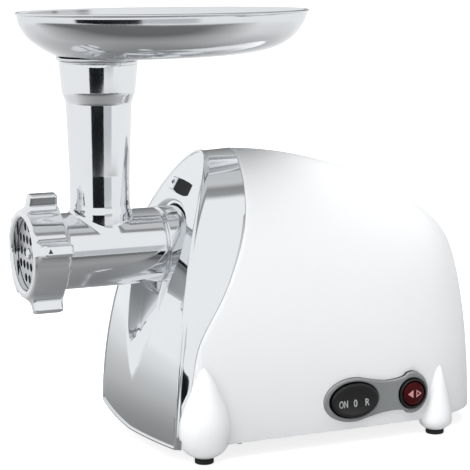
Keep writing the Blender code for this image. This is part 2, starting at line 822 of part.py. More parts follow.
def head_socket():
    """Cast sleeve behind the fascia that holds the rear of the barrel."""
    profile = [(138.0, 31.0), (138.0, 35.6), (160.0, 35.6), (163.0, 41.0), (170.7, 41.0),
               (170.7, 11.6), (163.5, 11.6), (163.5, 31.0)]
    return lathe("head_socket", profile, "cast_polished", count=36, closed=True)


def motor_parts():
    z = MOTOR_Z
    parts = {}
    parts["armature_shaft"] = lathe(
        "armature_shaft", [(197.0, 3.6), (197.5, 4.0), (320.0, 4.0), (320.5, 3.6)], "steel",
        centre=(0, 0, z), count=16)
    parts["motor_pinion"] = gear("motor_pinion", PINION_TEETH, FIRST_MODULE, math.pi / 2, 4.3,
                                 198.0, 208.0, z, "steel")
    core = []
    for i in range(12):
        a = 2 * math.pi * i / 12
        for r, s in ((20.0, -0.22), (20.0, 0.22), (13.0, 0.17), (13.0, 2 * math.pi / 12 - 0.17)):
            core.append((r * math.cos(a + s), r * math.sin(a + s)))
    parts["armature_core"] = prism("armature_core", [core, circle(16, 4.3)], 238.0, 272.0,
                                   "steel", centre=(0, 0, z))
    parts["commutator"] = lathe(
        "commutator", [(285.5, 4.3), (285.5, 10.0), (296.0, 10.0), (296.0, 4.3)], "copper",
        centre=(0, 0, z), count=24, closed=True)
    blades = []
    for i in range(10):
        a = 2 * math.pi * i / 10
        for r, s in ((9.0, -0.16), (29.0, -0.02), (29.0, 0.08), (9.0, 0.16)):
            blades.append((r * math.cos(a + s), r * math.sin(a + s)))
    parts["motor_fan"] = prism("motor_fan", [blades, circle(16, 4.3)], 220.0, 225.5,
                               "black_plastic", centre=(0, 0, z))
    outer = [(-33.0, -22.0), (-24.0, -32.0), (24.0, -32.0), (33.0, -22.0),
             (33.0, 22.0), (24.0, 32.0), (-24.0, 32.0), (-33.0, 22.0)]
    windows = []
    for sy in (-1, 1):
        for sz in (-1, 1):
            cy, cz = sy * 26.0, sz * 13.0
            windows.append([(cy - 3.8, cz - 4.8), (cy + 3.8, cz - 4.8),
                            (cy + 3.8, cz + 4.8), (cy - 3.8, cz + 4.8)])
    parts["stator_core"] = prism("stator_core", [outer, circle(32, 20.6)] + windows,
                                 236.0, 274.0, "steel", centre=(0, 0, z))
    for side, label in ((1, "upper"), (-1, "lower")):
        name = "field_coil_" + label
        parts[name] = field_coil(name, z + side * 13.0)
    for side, label in ((-1, "near"), (1, "far")):
        brush = (side * 10.3, side * 24.0)
        parts["carbon_brush_" + label] = box(
            "carbon_brush_" + label, (287.0, min(brush), z - 2.5), (293.0, max(brush), z + 2.5),
            "carbon")
        rings = []
        for y, grow in ((13.0, 3.0), (27.0, 3.0), (27.0, 0.3), (13.0, 0.3)):
            rings.append([
                (x, side * y, zz) for x, zz in (
                    (287.0 - grow, z - 2.5 - grow), (293.0 + grow, z - 2.5 - grow),
                    (293.0 + grow, z + 2.5 + grow), (287.0 - grow, z + 2.5 + grow))
            ])
        parts["brush_holder_" + label] = ring_solid("brush_holder_" + label, rings, "bronze",
                                                    closed=True)
    holes = [circle(20, 9.3)]
    holes += [[(a + y, b) for a, b in circle(12, 2.3)] for y in (-36.5, 36.5)]
    bracket = [(-42.0, -9.0), (-24.0, -32.0), (24.0, -32.0), (42.0, -9.0),
               (42.0, 9.0), (24.0, 32.0), (-24.0, 32.0), (-42.0, 9.0)]
    parts["motor_bracket"] = prism("motor_bracket", [bracket] + holes, 303.0, 309.0,
                                   "grey_plastic", centre=(0, 0, z))
    for x, label in ((303.5, "rear"), (212.6, "front")):
        parts["motor_bearing_" + label] = lathe(
            "motor_bearing_" + label,
            [(x, 4.1), (x, 9.0), (x + 5.0, 9.0), (x + 5.0, 4.1)], "bronze",
            centre=(0, 0, z), count=20, closed=True)
    for side, label in ((-1, "near"), (1, "far")):
        parts["motor_bolt_" + label] = lathe(
            "motor_bolt_" + label,
            [(212.4, 2.0), (309.3, 2.0), (309.3, 4.2), (312.0, 4.2)], "steel",
            centre=(0, side * 36.5, z), count=12)
    return parts


def field_coil(name, z):
    """Rounded loop of copper wire through two windows of the stator."""
    path = [(229.0, 0.0), (229.0, 20.0), (233.0, 26.0), (277.0, 26.0), (281.0, 20.0),
            (281.0, -20.0), (277.0, -26.0), (233.0, -26.0), (229.0, -20.0)]
    middle = (255.0, 0.0)
    rings = []
    for x, y in path:
        out = Vector((x - middle[0], y - middle[1]))
        out = Vector((out.x / 26.0, out.y / 26.0))
        ox = 1.0 if out.x > 0.86 else (-1.0 if out.x < -0.86 else 0.0)
        oy = 1.0 if out.y > 0.9 else (-1.0 if out.y < -0.9 else 0.0)
        if abs(y) == 20.0:
            oy = math.copysign(0.5, y)
        ring = []
        for grow, lift in ((-3.2, -4.2), (3.2, -4.2), (3.2, 4.2), (-3.2, 4.2)):
            ring.append((x + ox * grow, y + oy * grow, z + lift))
        rings.append(ring)
    return ring_solid(name, rings, "copper", closed=True)


def drive_parts():
    parts = {}
    parts["output_shaft"] = output_shaft()
    parts["output_gear"] = gear("output_gear", WHEEL_TEETH, SECOND_MODULE, WHEEL_TURN, 11.4,
                                186.0, 196.0, 0.0, "nylon")
    parts["counter_shaft"] = lathe(
        "counter_shaft", [(173.6, 4.0), (216.0, 4.0)], "steel", centre=(0, 0, COUNTER_Z),
        count=16)
    parts["counter_pinion"] = gear("counter_pinion", PINION_TEETH, SECOND_MODULE, math.pi / 2,
                                   4.3, 185.0, 197.4, COUNTER_Z, "steel")
    parts["counter_gear"] = gear("counter_gear", WHEEL_TEETH, FIRST_MODULE, WHEEL_TURN, 4.3,
                                 199.0, 207.0, COUNTER_Z, "nylon")
    return parts


# ---- base, legs and fittings -------------------------------------------------
def base_plate():
    near = []
    for x in (112.0, 150.0, 200.0, 240.0, 275.0, 305.0, 330.0, 350.0, 364.0, 372.0):
        near.append((x, -(body_half_width(x + 3.4) - WALL - GAP - 0.3)))
    outline = near + [(x, -y) for x, y in reversed(near)]
    holes = []
    for i in range(6):
        x = 238.0 + 13.0 * i
        holes.append([(x, -28.0), (x + 4.0, -28.0), (x + 4.0, 28.0), (x, 28.0)])
    for x, side in SCREW_SPOTS:
        y = side * SCREW_Y[x]
        holes.append([(x + a, y + b) for a, b in circle(10, 2.0)])
    return prism("base_plate", [outline] + holes, -146.0, -142.9, "grey_plastic", axis="Z")


def base_screw(name, x, y):
    return lathe(name, [(-149.0, 2.6), (-148.4, 3.3), (-146.3, 3.4), (-146.3, 1.6), (-129.0, 1.6)],
                 "steel", axis="Z", centre=(x, y, 0), count=10)


FRONT_POD = [
    # (share of the height below the tip, radius)
    (0.0, 0.0), (0.04, 3.2), (0.165, 8.6), (0.315, 13.2), (0.466, 17.2), (0.60, 19.8),
    (0.72, 20.5), (0.82, 19.8), (0.89, 17.8), (0.95, 14.2), (0.985, 10.5), (1.0, 8.3),
]
REAR_POD = [
    (0.0, 0.0), (0.035, 1.5), (0.08, 2.6), (0.25, 5.6), (0.41, 7.9), (0.574, 10.2),
    (0.74, 12.4), (0.82, 13.2), (0.88, 13.4), (0.93, 12.6), (0.97, 10.4), (1.0, 8.2),
]


def leg_pod(name, x, side, tip_z, bottom_z, profile, lean, envelope):
    """Teardrop leg; lean moves its tip along X and towards the centre plane."""
    rings = []
    for share, radius in profile:
        z = tip_z + (bottom_z - tip_z) * share
        cx = x + lean[0] * (1.0 - share)
        cy = side * (FOOT_Y - lean[1] * (1.0 - share))
        rings.append([(cx + a, cy + b, z) for a, b in circle(20, max(radius, 0.02))])
    pod = ring_solid(name, rings, "white_plastic")
    boolean(pod, envelope)
    return pod


def foot(name, x, side, top_z):
    ground = -AXIS_HEIGHT
    profile = [(ground, FOOT_R - 0.8), (ground + 0.8, FOOT_R), (top_z, FOOT_R)]
    return lathe(name, profile, "rubber", axis="Z", centre=(x, side * FOOT_Y, 0), count=20)


def body_envelope():
    """Solid just outside the body, used to trim the pods."""
    rows = []
    for x in [70.0, 150.0, 240.0, 275.0, 300.0, 320.0, 335.0, 347.0, 357.0, 365.0, 371.5, 376.0]:
        half_turns = [math.pi * j / 24 for j in range(25)]
        rows.append([arch(x, turn, -GAP) for turn in half_turns])
    for row in rows:
        low = BODY_BASE - GAP
        row[0] = (row[0][0], row[0][1], low)
        row[-1] = (row[-1][0], row[-1][1], low)
    return ring_solid("cut_envelope", rows, cutter=True)


# ---- switches ----------------------------------------------------------------
def panel_outline(grow=0.0):
    """Figure-eight switch plate outline as (x, z about the panel line)."""
    points = []
    for i in range(15):
        a = math.radians(62.0 + (298.0 - 62.0) * i / 14.0)
        points.append((ROCKER_X + (27.0 + grow) * math.cos(a), (17.8 + grow) * math.sin(a)))
    points.append((277.5, -12.8 - grow))
    for i in range(13):
        a = math.radians(-128.0 + 256.0 * i / 12.0)
        points.append((BUTTON_X + (14.6 + grow) * math.cos(a), (17.2 + grow) * math.sin(a) + 0.6))
    points.append((277.5, 12.8 + grow))
    return points


def oval(x, half_x, half_z, count=28):
    return [(x + half_x * p, half_z * q) for p, q in circle(count, 1.0)]


def switch_parts():
    centre = (0, 0, PANEL_Z)
    parts = {}
    parts["switch_panel"] = prism(
        "switch_panel",
        [panel_outline(), oval(ROCKER_X, 22.4, 15.0), oval(BUTTON_X, 12.9, 12.9)],
        PANEL_FACE_Y, PANEL_FACE_Y + 3.4, "grey_plastic", axis="Y", centre=centre)
    rings = []
    for y, scale in ((-91.2, 0.90), (-90.6, 0.98), (-90.0, 1.0), (-85.4, 1.0)):
        rings.append([(x, y, PANEL_Z + z) for x, z in oval(ROCKER_X, 21.2 * scale, 14.0 * scale)])
    for y, half_x, half_z in ((-85.4, 7.0, 9.0), (-81.4, 4.0, 8.0)):
        rings.append([(x, y, PANEL_Z + z) for x, z in oval(ROCKER_X, half_x, half_z)])
    parts["rocker_switch"] = ring_solid("rocker_switch", rings, "black_plastic")
    parts["rocker_housing"] = box(
        "rocker_housing", (ROCKER_X - 15.0, -80.2, PANEL_Z - 11.0),
        (ROCKER_X + 15.0, -58.0, PANEL_Z + 11.0), "black_plastic")
    parts["button_bezel"] = lathe(
        "button_bezel",
        [(-90.6, 10.5), (-91.0, 11.2), (-90.4, 12.3), (-82.4, 12.5), (-82.4, 10.0)],
        "black_plastic", axis="Y", centre=(BUTTON_X, 0, PANEL_Z), count=28, closed=True)
    parts["reverse_button"] = lathe(
        "reverse_button", [(-93.0, 4.5), (-92.3, 7.8), (-91.2, 9.4), (-83.6, 9.6)],
        "red_plastic", axis="Y", centre=(BUTTON_X, 0, PANEL_Z), count=24)
    parts["button_housing"] = lathe(
        "button_housing", [(-80.6, 10.0), (-79.6, 11.0), (-60.0, 11.0)],
        "black_plastic", axis="Y", centre=(BUTTON_X, 0, PANEL_Z), count=20)
    return parts


def cord_inlet():
    profile = [(375.0, 3.2), (375.0, 8.4), (376.6, 8.4), (376.6, 5.6), (381.9, 5.6), (381.9, 8.4),
               (383.8, 8.4), (384.4, 5.8), (OVERALL_LENGTH, 5.0), (OVERALL_LENGTH, 3.2)]
    return lathe("cord_inlet", profile, "black_plastic", centre=(0, 0, -118.0), count=16,
                 closed=True)


# ---- assembly ----------------------------------------------------------------
def build():
    casing = main_casing()
    front_fascia()
    release_button()
    axis_point = (0.0, 0.0, 0.0)
    for obj in (locking_ring(), cutting_plate(), cutting_blade(), feed_screw(), grinder_head()):
        set_origin(obj, axis_point)
    tray = hopper_tray()
    set_origin(tray, (NECK_X, 0.0, 145.0))
    head_socket()
    gearbox_housing()
    gearbox_cover()
    drive = drive_parts()
    for name in ("output_shaft", "output_gear"):
        set_origin(drive[name], axis_point)
    for name in ("counter_shaft", "counter_pinion", "counter_gear"):
        set_origin(drive[name], (0.0, 0.0, COUNTER_Z))
    motor = motor_parts()
    for name in ("armature_shaft", "motor_pinion", "armature_core", "commutator", "motor_fan"):
        set_origin(motor[name], (0.0, 0.0, MOTOR_Z))
    base_plate()
    for i, (x, side) in enumerate(SCREW_SPOTS):
        base_screw("base_screw_%d" % (i + 1), x, side * SCREW_Y[x])
    envelope = body_envelope()
    for side, label in ((-1, "near"), (1, "far")):
        leg_pod("leg_pod_front_" + label, FRONT_FOOT_X, side, -84.3, -154.2, FRONT_POD,
                (0.5, 1.0), envelope)
        leg_pod("leg_pod_rear_" + label, REAR_FOOT_X, side, -104.0, -154.8, REAR_POD,
                (6.0, 4.0), envelope)
        foot("foot_front_" + label, FRONT_FOOT_X, side, -154.5)
        foot("foot_rear_" + label, REAR_FOOT_X, side, -155.1)
    switches = switch_parts()
    set_origin(switches["rocker_switch"], (ROCKER_X, -84.0, PANEL_Z))
    set_origin(switches["reverse_button"], (BUTTON_X, -84.0, PANEL_Z))
    cord_inlet()
    return casing


build()
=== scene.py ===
"""Looks of the electric meat grinder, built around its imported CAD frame.

Shape functions work in millimetres from the front face of the locking ring (X)
and from the axis of the grinding barrel (Y, Z); at() turns them into the frame's
metres.  -Y is the side with the switches.
"""
import json
import math

import bmesh
import bpy
import numpy as np
from mathutils import Matrix, Vector
from mathutils.bvhtree import BVHTree


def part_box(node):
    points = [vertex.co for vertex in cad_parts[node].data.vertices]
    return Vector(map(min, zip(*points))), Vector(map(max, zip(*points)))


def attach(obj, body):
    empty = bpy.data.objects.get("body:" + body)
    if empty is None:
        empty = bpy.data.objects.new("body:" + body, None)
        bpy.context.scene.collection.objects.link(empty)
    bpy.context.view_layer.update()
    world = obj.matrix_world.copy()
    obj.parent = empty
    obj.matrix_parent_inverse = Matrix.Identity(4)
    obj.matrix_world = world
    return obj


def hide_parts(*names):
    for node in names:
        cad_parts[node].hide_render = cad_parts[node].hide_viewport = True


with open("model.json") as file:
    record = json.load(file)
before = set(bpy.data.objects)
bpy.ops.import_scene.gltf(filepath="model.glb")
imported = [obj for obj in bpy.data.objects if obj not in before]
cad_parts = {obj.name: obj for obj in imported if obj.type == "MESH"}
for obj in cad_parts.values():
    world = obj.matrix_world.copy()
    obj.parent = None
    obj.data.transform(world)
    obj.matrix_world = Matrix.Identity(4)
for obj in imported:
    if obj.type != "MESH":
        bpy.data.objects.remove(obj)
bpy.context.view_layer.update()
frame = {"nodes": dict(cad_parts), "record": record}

SOCKET_LOW, SOCKET_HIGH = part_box("head_socket")
FRONT_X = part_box("locking_ring")[0].x
AXIS_Z = (SOCKET_LOW[2] + SOCKET_HIGH[2]) / 2.0
GROUND = -AXIS_Z * 1000.0


def at(point):
    x, y, z = point
    return Vector((FRONT_X + x * 0.001, y * 0.001, AXIS_Z + z * 0.001))


def scene_object(name, data):
    obj = bpy.data.objects.new(name, data)
    bpy.context.scene.collection.objects.link(obj)
    return obj


def bezier(p0, p1, p2, p3, t):
    s = 1.0 - t
    return tuple(
        s ** 3 * a + 3 * s * s * t * b + 3 * s * t * t * c + t ** 3 * d
        for a, b, c, d in zip(p0, p1, p2, p3)
    )


def lerp(a, b, t):
    return tuple(u + (v - u) * t for u, v in zip(a, b))


# ---- materials -----------------------------------------------------------------
def new_material(name):
    material = bpy.data.materials.new(name)
    material.use_nodes = True
    tree = material.node_tree
    shader = tree.nodes["Principled BSDF"]
    return material, tree, shader


def noise(tree, scale, detail=3.0, stretch=None):
    coordinates = tree.nodes.new("ShaderNodeTexCoord")
    mapping = tree.nodes.new("ShaderNodeMapping")
    mapping.inputs["Scale"].default_value = stretch or (1.0, 1.0, 1.0)
    texture = tree.nodes.new("ShaderNodeTexNoise")
    texture.inputs["Scale"].default_value = scale
    texture.inputs["Detail"].default_value = detail
    tree.links.new(coordinates.outputs["Object"], mapping.inputs["Vector"])
    tree.links.new(mapping.outputs["Vector"], texture.inputs["Vector"])
    return texture.outputs["Fac"]


def spread(tree, value, low, high, from_low=0.3, from_high=0.7):
    node = tree.nodes.new("ShaderNodeMapRange")
    node.inputs["From Min"].default_value = from_low
    node.inputs["From Max"].default_value = from_high
    node.inputs["To Min"].default_value = low
    node.inputs["To Max"].default_value = high
    tree.links.new(value, node.inputs["Value"])
    return node.outputs["Result"]


def tint(tree, value, colour_a, colour_b):
    node = tree.nodes.new("ShaderNodeMix")
    node.data_type = "RGBA"
    node.inputs["A"].default_value = (*colour_a, 1.0)
    node.inputs["B"].default_value = (*colour_b, 1.0)
    tree.links.new(value, node.inputs["Factor"])
    return node.outputs["Result"]


def bump(tree, shader, value, strength, distance):
    node = tree.nodes.new("ShaderNodeBump")
    node.inputs["Strength"].default_value = strength
    node.inputs["Distance"].default_value = distance
    tree.links.new(value, node.inputs["Height"])
    tree.links.new(node.outputs["Normal"], shader.inputs["Normal"])


def metal(name, colour, rough, variation=0.03, grain=None, grain_strength=0.05, grain_scale=900.0):
    """Metal with smudged roughness, slight colour drift and a fine surface grain."""
    material, tree, shader = new_material(name)
    shader.inputs["Metallic"].default_value = 1.0
    smudge = noise(tree, 28.0, 4.0)
    darker = tuple(c * 0.96 for c in colour)
    tree.links.new(tint(tree, smudge, darker, colour), shader.inputs["Base Color"])
    tree.links.new(spread(tree, smudge, max(rough - variation, 0.01), rough + variation),
                   shader.inputs["Roughness"])
    bump(tree, shader, noise(tree, grain_scale, 2.0, grain), grain_strength, 0.00005)
    return material


def plastic(name, colour, rough, coat=0.0, grain_scale=1400.0, grain_strength=0.08, drift=0.03,
            coat_rough=0.05, gloss_drift=0.12):
    """Moulded plastic with faint mould texture and slightly uneven gloss."""
    material, tree, shader = new_material(name)
    cloud = noise(tree, 18.0, 3.0)
    darker = tuple(max(c * (1.0 - drift), 0.0) for c in colour)
    tree.links.new(tint(tree, cloud, darker, colour), shader.inputs["Base Color"])
    tree.links.new(spread(tree, cloud, rough * (1.0 - gloss_drift),
                          rough * (1.0 + gloss_drift)), shader.inputs["Roughness"])
    shader.inputs["Coat Weight"].default_value = coat
    shader.inputs["Coat Roughness"].default_value = coat_rough
    bump(tree, shader, noise(tree, grain_scale, 3.0), grain_strength, 0.00004)
    return material


WHITE = plastic("white_gloss", (0.80, 0.81, 0.825), 0.30, coat=0.2, grain_scale=420.0,
                grain_strength=0.03, drift=0.006, coat_rough=0.09, gloss_drift=0.02)
CHROME = metal("chrome_plate", (0.86, 0.875, 0.89), 0.055, 0.012, grain_strength=0.015)
CAST = metal("polished_casting", (0.84, 0.85, 0.865), 0.085, 0.03, grain_strength=0.06,
             grain_scale=650.0)
STAINLESS = metal("stainless_sheet", (0.80, 0.81, 0.825), 0.10, 0.03, grain=(1.0, 14.0, 14.0),
                  grain_strength=0.05)
MACHINED = metal("machined_steel", (0.60, 0.61, 0.625), 0.26, 0.06, grain=(1.0, 20.0, 20.0),
                 grain_strength=0.12)
SATIN = plastic("satin_grey", (0.235, 0.245, 0.25), 0.36, grain_scale=2600.0,
                grain_strength=0.16, drift=0.08)
MOULDED = plastic("moulded_grey", (0.20, 0.205, 0.21), 0.5, grain_scale=1800.0,
                  grain_strength=0.25, drift=0.1)
BLACK = plastic("black_gloss", (0.004, 0.004, 0.0045), 0.34, coat=0.15, drift=0.3)
BLACK_MATT = plastic("black_matt", (0.02, 0.02, 0.021), 0.5, grain_strength=0.3, drift=0.2)
RED = plastic("red_button", (0.05, 0.002, 0.003), 0.3, coat=0.0, drift=0.12)
RED.node_tree.nodes["Principled BSDF"].inputs["Specular IOR Level"].default_value = 0.12
PINK = plastic("mark_pink", (0.62, 0.28, 0.28), 0.4, drift=0.05)
PALE = plastic("mark_grey", (0.50, 0.51, 0.52), 0.4, drift=0.05)
RUBBER = plastic("rubber", (0.014, 0.014, 0.015), 0.72, grain_scale=2200.0, grain_strength=0.5,
                 drift=0.3)
COPPER = metal("enamelled_copper", (0.62, 0.24, 0.09), 0.3, 0.06, grain=(1.0, 60.0, 1.0),
               grain_strength=0.5)
NYLON = plastic("nylon", (0.72, 0.68, 0.56), 0.5, drift=0.06)
BRONZE = metal("sintered_bronze", (0.50, 0.32, 0.14), 0.42, 0.08, grain_strength=0.3)
CARBON = plastic("carbon", (0.03, 0.03, 0.032), 0.6, drift=0.3)

BY_SLOT = {
    "cast_polished": CAST, "chrome": CHROME, "steel": MACHINED, "white_plastic": WHITE,
    "grey_plastic": MOULDED, "black_plastic": BLACK_MATT, "red_plastic": RED, "rubber": RUBBER,
    "copper": COPPER, "nylon": NYLON, "bronze": BRONZE, "carbon": CARBON,
}

NODE_SLOT = {part["node"]: part["material_slot"] for part in frame["record"]["subparts"]}
for node_name, node_object in frame["nodes"].items():
    node_object.data.materials.clear()
    node_object.data.materials.append(BY_SLOT[NODE_SLOT[node_name]])


# ---- mesh helpers ----------------------------------------------------------------
def add_piece(name, verts, faces, material, body, replaced=(), slot=None, sharp=32.0,
              metres=False):
    """A smooth-shaded mesh in the frame that rides on a CAD body."""
    mesh = bpy.data.meshes.new(name)
    mesh.from_pydata([v if metres else at(v) for v in verts], [], faces)
    work = bmesh.new()
    work.from_mesh(mesh)
    bmesh.ops.remove_doubles(work, verts=work.verts, dist=1e-6)
    bmesh.ops.recalc_face_normals(work, faces=work.faces)
    if work.calc_volume(signed=True) < 0:
        bmesh.ops.reverse_faces(work, faces=work.faces)
    work.to_mesh(mesh)
    work.free()
    mesh.polygons.foreach_set("use_smooth", [True] * len(mesh.polygons))
    mesh.set_sharp_from_angle(angle=math.radians(sharp))
    mesh.materials.append(material)
    piece = scene_object(name, mesh)
    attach(piece, body)
    if replaced:
        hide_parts(*replaced)
    return piece


def add_bevel(piece, width, segments=2):
    modifier = piece.modifiers.new("bevel", "BEVEL")
    modifier.width = width * 0.001
    modifier.segments = segments
    modifier.limit_method = "ANGLE"
    modifier.angle_limit = math.radians(35.0)
    modifier.harden_normals = True


def ring_faces(rows, columns, closed):
    faces = []
    for i in range(rows if closed else rows - 1):
        a = i * columns
        b = ((i + 1) % rows) * columns
        for j in range(columns):
            k = (j + 1) % columns
            faces.append((a + j, a + k, b + k, b + j))
    if not closed:
        faces.append(tuple(range(columns))[::-1])
        faces.append(tuple(range((rows - 1) * columns, rows * columns)))
    return faces


def add_rings(name, rings, material, body, closed=False, **options):
    verts = [p for ring in rings for p in ring]
    faces = ring_faces(len(rings), len(rings[0]), closed)
    return add_piece(name, verts, faces, material, body, **options)


def circle(count, radius):
    step = 2 * math.pi / count
    return [(radius * math.cos(step * i), radius * math.sin(step * i)) for i in range(count)]


def add_lathe(name, profile, material, body, axis="X", centre=(0, 0, 0), count=96,
              closed=False, **options):
    """Turn (along, radius) pairs about an axis through centre."""
    cx, cy, cz = centre
    rings = []
    for along, radius in profile:
        ring = []
        for a, b in circle(count, max(radius, 0.02)):
            if axis == "X":
                ring.append((cx + along, cy + a, cz + b))
            elif axis == "Y":
                ring.append((cx + a, cy + along, cz + b))
            else:
                ring.append((cx + a, cy + b, cz + along))
        rings.append(ring)
    return add_rings(name, rings, material, body, closed, **options)


def rounded(profile, radius, closed=False):
    """Profile with each inner corner replaced by a short curve."""
    points = []
    count = len(profile)
    for i, p in enumerate(profile):
        if not closed and i in (0, count - 1):
            points.append(p)
            continue
        before, after = profile[i - 1], profile[(i + 1) % count]
        reach_a = min(radius, math.dist(p, before) * 0.45)
        reach_b = min(radius, math.dist(p, after) * 0.45)
        a = lerp(p, before, reach_a / max(math.dist(p, before), 1e-9))
        b = lerp(p, after, reach_b / max(math.dist(p, after), 1e-9))
        for t in (0.0, 0.25, 0.5, 0.75, 1.0):
            points.append(tuple(
                (1 - t) ** 2 * u + 2 * t * (1 - t) * v + t * t * w for u, v, w in zip(a, p, b)
            ))
    return points


def cut(piece, cutter):
    modifier = piece.modifiers.new("cut_" + cutter.name, "BOOLEAN")
    modifier.operation = "DIFFERENCE"
    modifier.solver = "EXACT"
    modifier.object = cutter
    graph = bpy.context.evaluated_depsgraph_get()
    mesh = bpy.data.meshes.new_from_object(piece.evaluated_get(graph))
    piece.modifiers.clear()
    piece.data = mesh
    bpy.data.objects.remove(cutter, do_unlink=True)


def cutter_from(name, rings):
    mesh = bpy.data.meshes.new(name)
    verts = [at(p) for ring in rings for p in ring]
    mesh.from_pydata(verts, [], ring_faces(len(rings), len(rings[0]), False))
    work = bmesh.new()
    work.from_mesh(mesh)
    bmesh.ops.recalc_face_normals(work, faces=work.faces)
    work.to_mesh(mesh)
    work.free()
    cutter = scene_object(name, mesh)
    return cutter


# ---- blended solids from distance functions ---------------------------------------
def smooth_union(a, b, reach):
    h = np.clip(0.5 + 0.5 * (b - a) / reach, 0.0, 1.0)
    return b + (a - b) * h - reach * h * (1.0 - h)


def surface_net(field, low, high, step):
    """Mesh of field(x, y, z) = 0 inside a box, with vertices moved onto the surface."""
    axes = [np.arange(a, b + step, step) for a, b in zip(low, high)]
    x, y, z = np.meshgrid(*axes, indexing="ij")
    values = field(x, y, z)
    inside = values < 0.0
    nx, ny, nz = values.shape
    total = np.zeros((nx - 1, ny - 1, nz - 1, 3))
    hits = np.zeros((nx - 1, ny - 1, nz - 1))
    corner = [(i, j, k) for i in (0, 1) for j in (0, 1) for k in (0, 1)]
    for a in corner:
        for axis in range(3):
            if a[axis]:
                continue
            b = list(a)
            b[axis] = 1
            va = values[a[0]:nx - 1 + a[0], a[1]:ny - 1 + a[1], a[2]:nz - 1 + a[2]]
            vb = values[b[0]:nx - 1 + b[0], b[1]:ny - 1 + b[1], b[2]:nz - 1 + b[2]]
            cross = (va < 0.0) != (vb < 0.0)
            share = np.where(cross, va / np.where(cross, va - vb, 1.0), 0.0)
            for d in range(3):
                place = a[d] + (share if d == axis else 0.0)
                total[..., d] += np.where(cross, place, 0.0)
            hits += cross
    used = hits > 0
    index = -np.ones(used.shape, dtype=int)
    index[used] = np.arange(used.sum())
    cell = np.argwhere(used)
    origin = np.array([a[0] for a in axes])
    points = origin + (cell + total[used] / hits[used][:, None]) * step
    faces = []
    for axis in range(3):
        u, v = (axis + 1) % 3, (axis + 2) % 3
        first = [slice(None)] * 3
        second = [slice(None)] * 3
        first[axis] = slice(0, -1)
        second[axis] = slice(1, None)
        sign = inside[tuple(first)].astype(int) - inside[tuple(second)].astype(int)
        for place in np.argwhere(sign != 0):
            if place[u] == 0 or place[v] == 0:
                continue
            quad = []
            for du, dv in ((0, 0), (1, 0), (1, 1), (0, 1)):
                spot = place.copy()
                spot[u] -= du
                spot[v] -= dv
                quad.append(spot)
            ids = [index[tuple(q)] for q in quad]
            if sign[tuple(place)] < 0:
                ids = ids[::-1]
            faces.append(ids)
    probe = 0.05
    for _ in range(4):
        p = points.T
        value = field(*p)
        slope = np.stack([
            field(p[0] + probe, p[1], p[2]) - field(p[0] - probe, p[1], p[2]),
            field(p[0], p[1] + probe, p[2]) - field(p[0], p[1] - probe, p[2]),
            field(p[0], p[1], p[2] + probe) - field(p[0], p[1], p[2] - probe),
        ], axis=1) / (2 * probe)
        size = np.maximum((slope ** 2).sum(axis=1), 0.2)
        move = slope * (value / size)[:, None]
        points = points - np.clip(move, -step * 0.5, step * 0.5)
    return points, faces


# ---- body shape --------------------------------------------------------------------
BODY_BASE = -146.7
BODY_HALF_WIDTH = 88.0
BODY_REAR = 381.5
BODY_TAPER_START = 227.4
BODY_PLAN_POWER = 3.93
ARCH_POWER = 1.9
WALL = 2.8
GAP = 0.3
PANEL_Z = -122.8
ROCKER_X = 248.3
BUTTON_X = 302.0
NECK_X = 65.5


def side_profile():
    points = [(60.0, 74.9), (120.0, 75.4)]
    for i in range(65):
        points.append(bezier((150.0, 75.6), (209.6, 76.8), (273.0, 66.1), (342.2, 25.3), i / 64))
    for i in range(1, 33):
        points.append(bezier((342.2, 25.3), (355.0, 17.5), (378.4, 2.0), (378.9, -12.0), i / 32))
    for i in range(1, 9):
        points.append(lerp((378.9, -12.0), (381.3, BODY_BASE + 5.0), i / 8))
    return points


PROFILE_X, PROFILE_Z = zip(*side_profile())


def body_top(x):
    return float(np.interp(x, PROFILE_X, PROFILE_Z))


def body_half_width(x):
    u = min(max((x - BODY_TAPER_START) / (BODY_REAR - BODY_TAPER_START), 0.0), 1.0)
    return BODY_HALF_WIDTH * (1.0 - u ** BODY_PLAN_POWER) ** (1.0 / BODY_PLAN_POWER)


def arch(x, turn, inset=0.0):
    """Point of the body section at x; turn runs 0 (near side) to pi (far side)."""
    length = BODY_REAR - BODY_TAPER_START
    outer_x = x
    if x > BODY_TAPER_START:
        outer_x = BODY_TAPER_START + (x - BODY_TAPER_START) * length / (length - inset)
    half = body_half_width(outer_x) - inset
    top = body_top(outer_x) - inset
    c = math.cos(turn)
    s = max(math.sin(turn), 0.0)
    y = -math.copysign(abs(c) ** (2.0 / ARCH_POWER), c) * half
    z = BODY_BASE + (top - BODY_BASE) * s ** (2.0 / ARCH_POWER)
    return (x, y, z)


SEAM_CURVE = ((98.0, -147.0), (97.0, -93.0), (168.0, -12.0), (176.6, 76.0))
SEAM_WAVES = ((-8.0, -66.0, 27.0), (2.5, 20.0, 30.0))  # (shift along X, height, spread)


def seam_spot(t):
    """Side view of the seam: a plain curve with two gentle waves that give it its S shape."""
    x, z = bezier(*SEAM_CURVE, t)
    return (x + sum(a * math.exp(-((z - b) / c) ** 2) for a, b, c in SEAM_WAVES), z)


SEAM_X, SEAM_Z = zip(*(seam_spot(i / 64) for i in range(65)))


def seam_point(turn, inset, shift):
    """Point of the line where the chrome band meets the white casing."""
    x = 140.0
    for _ in range(8):
        x = float(np.interp(arch(x, turn)[2], SEAM_Z, SEAM_X))
    return arch(x + shift, turn, inset)


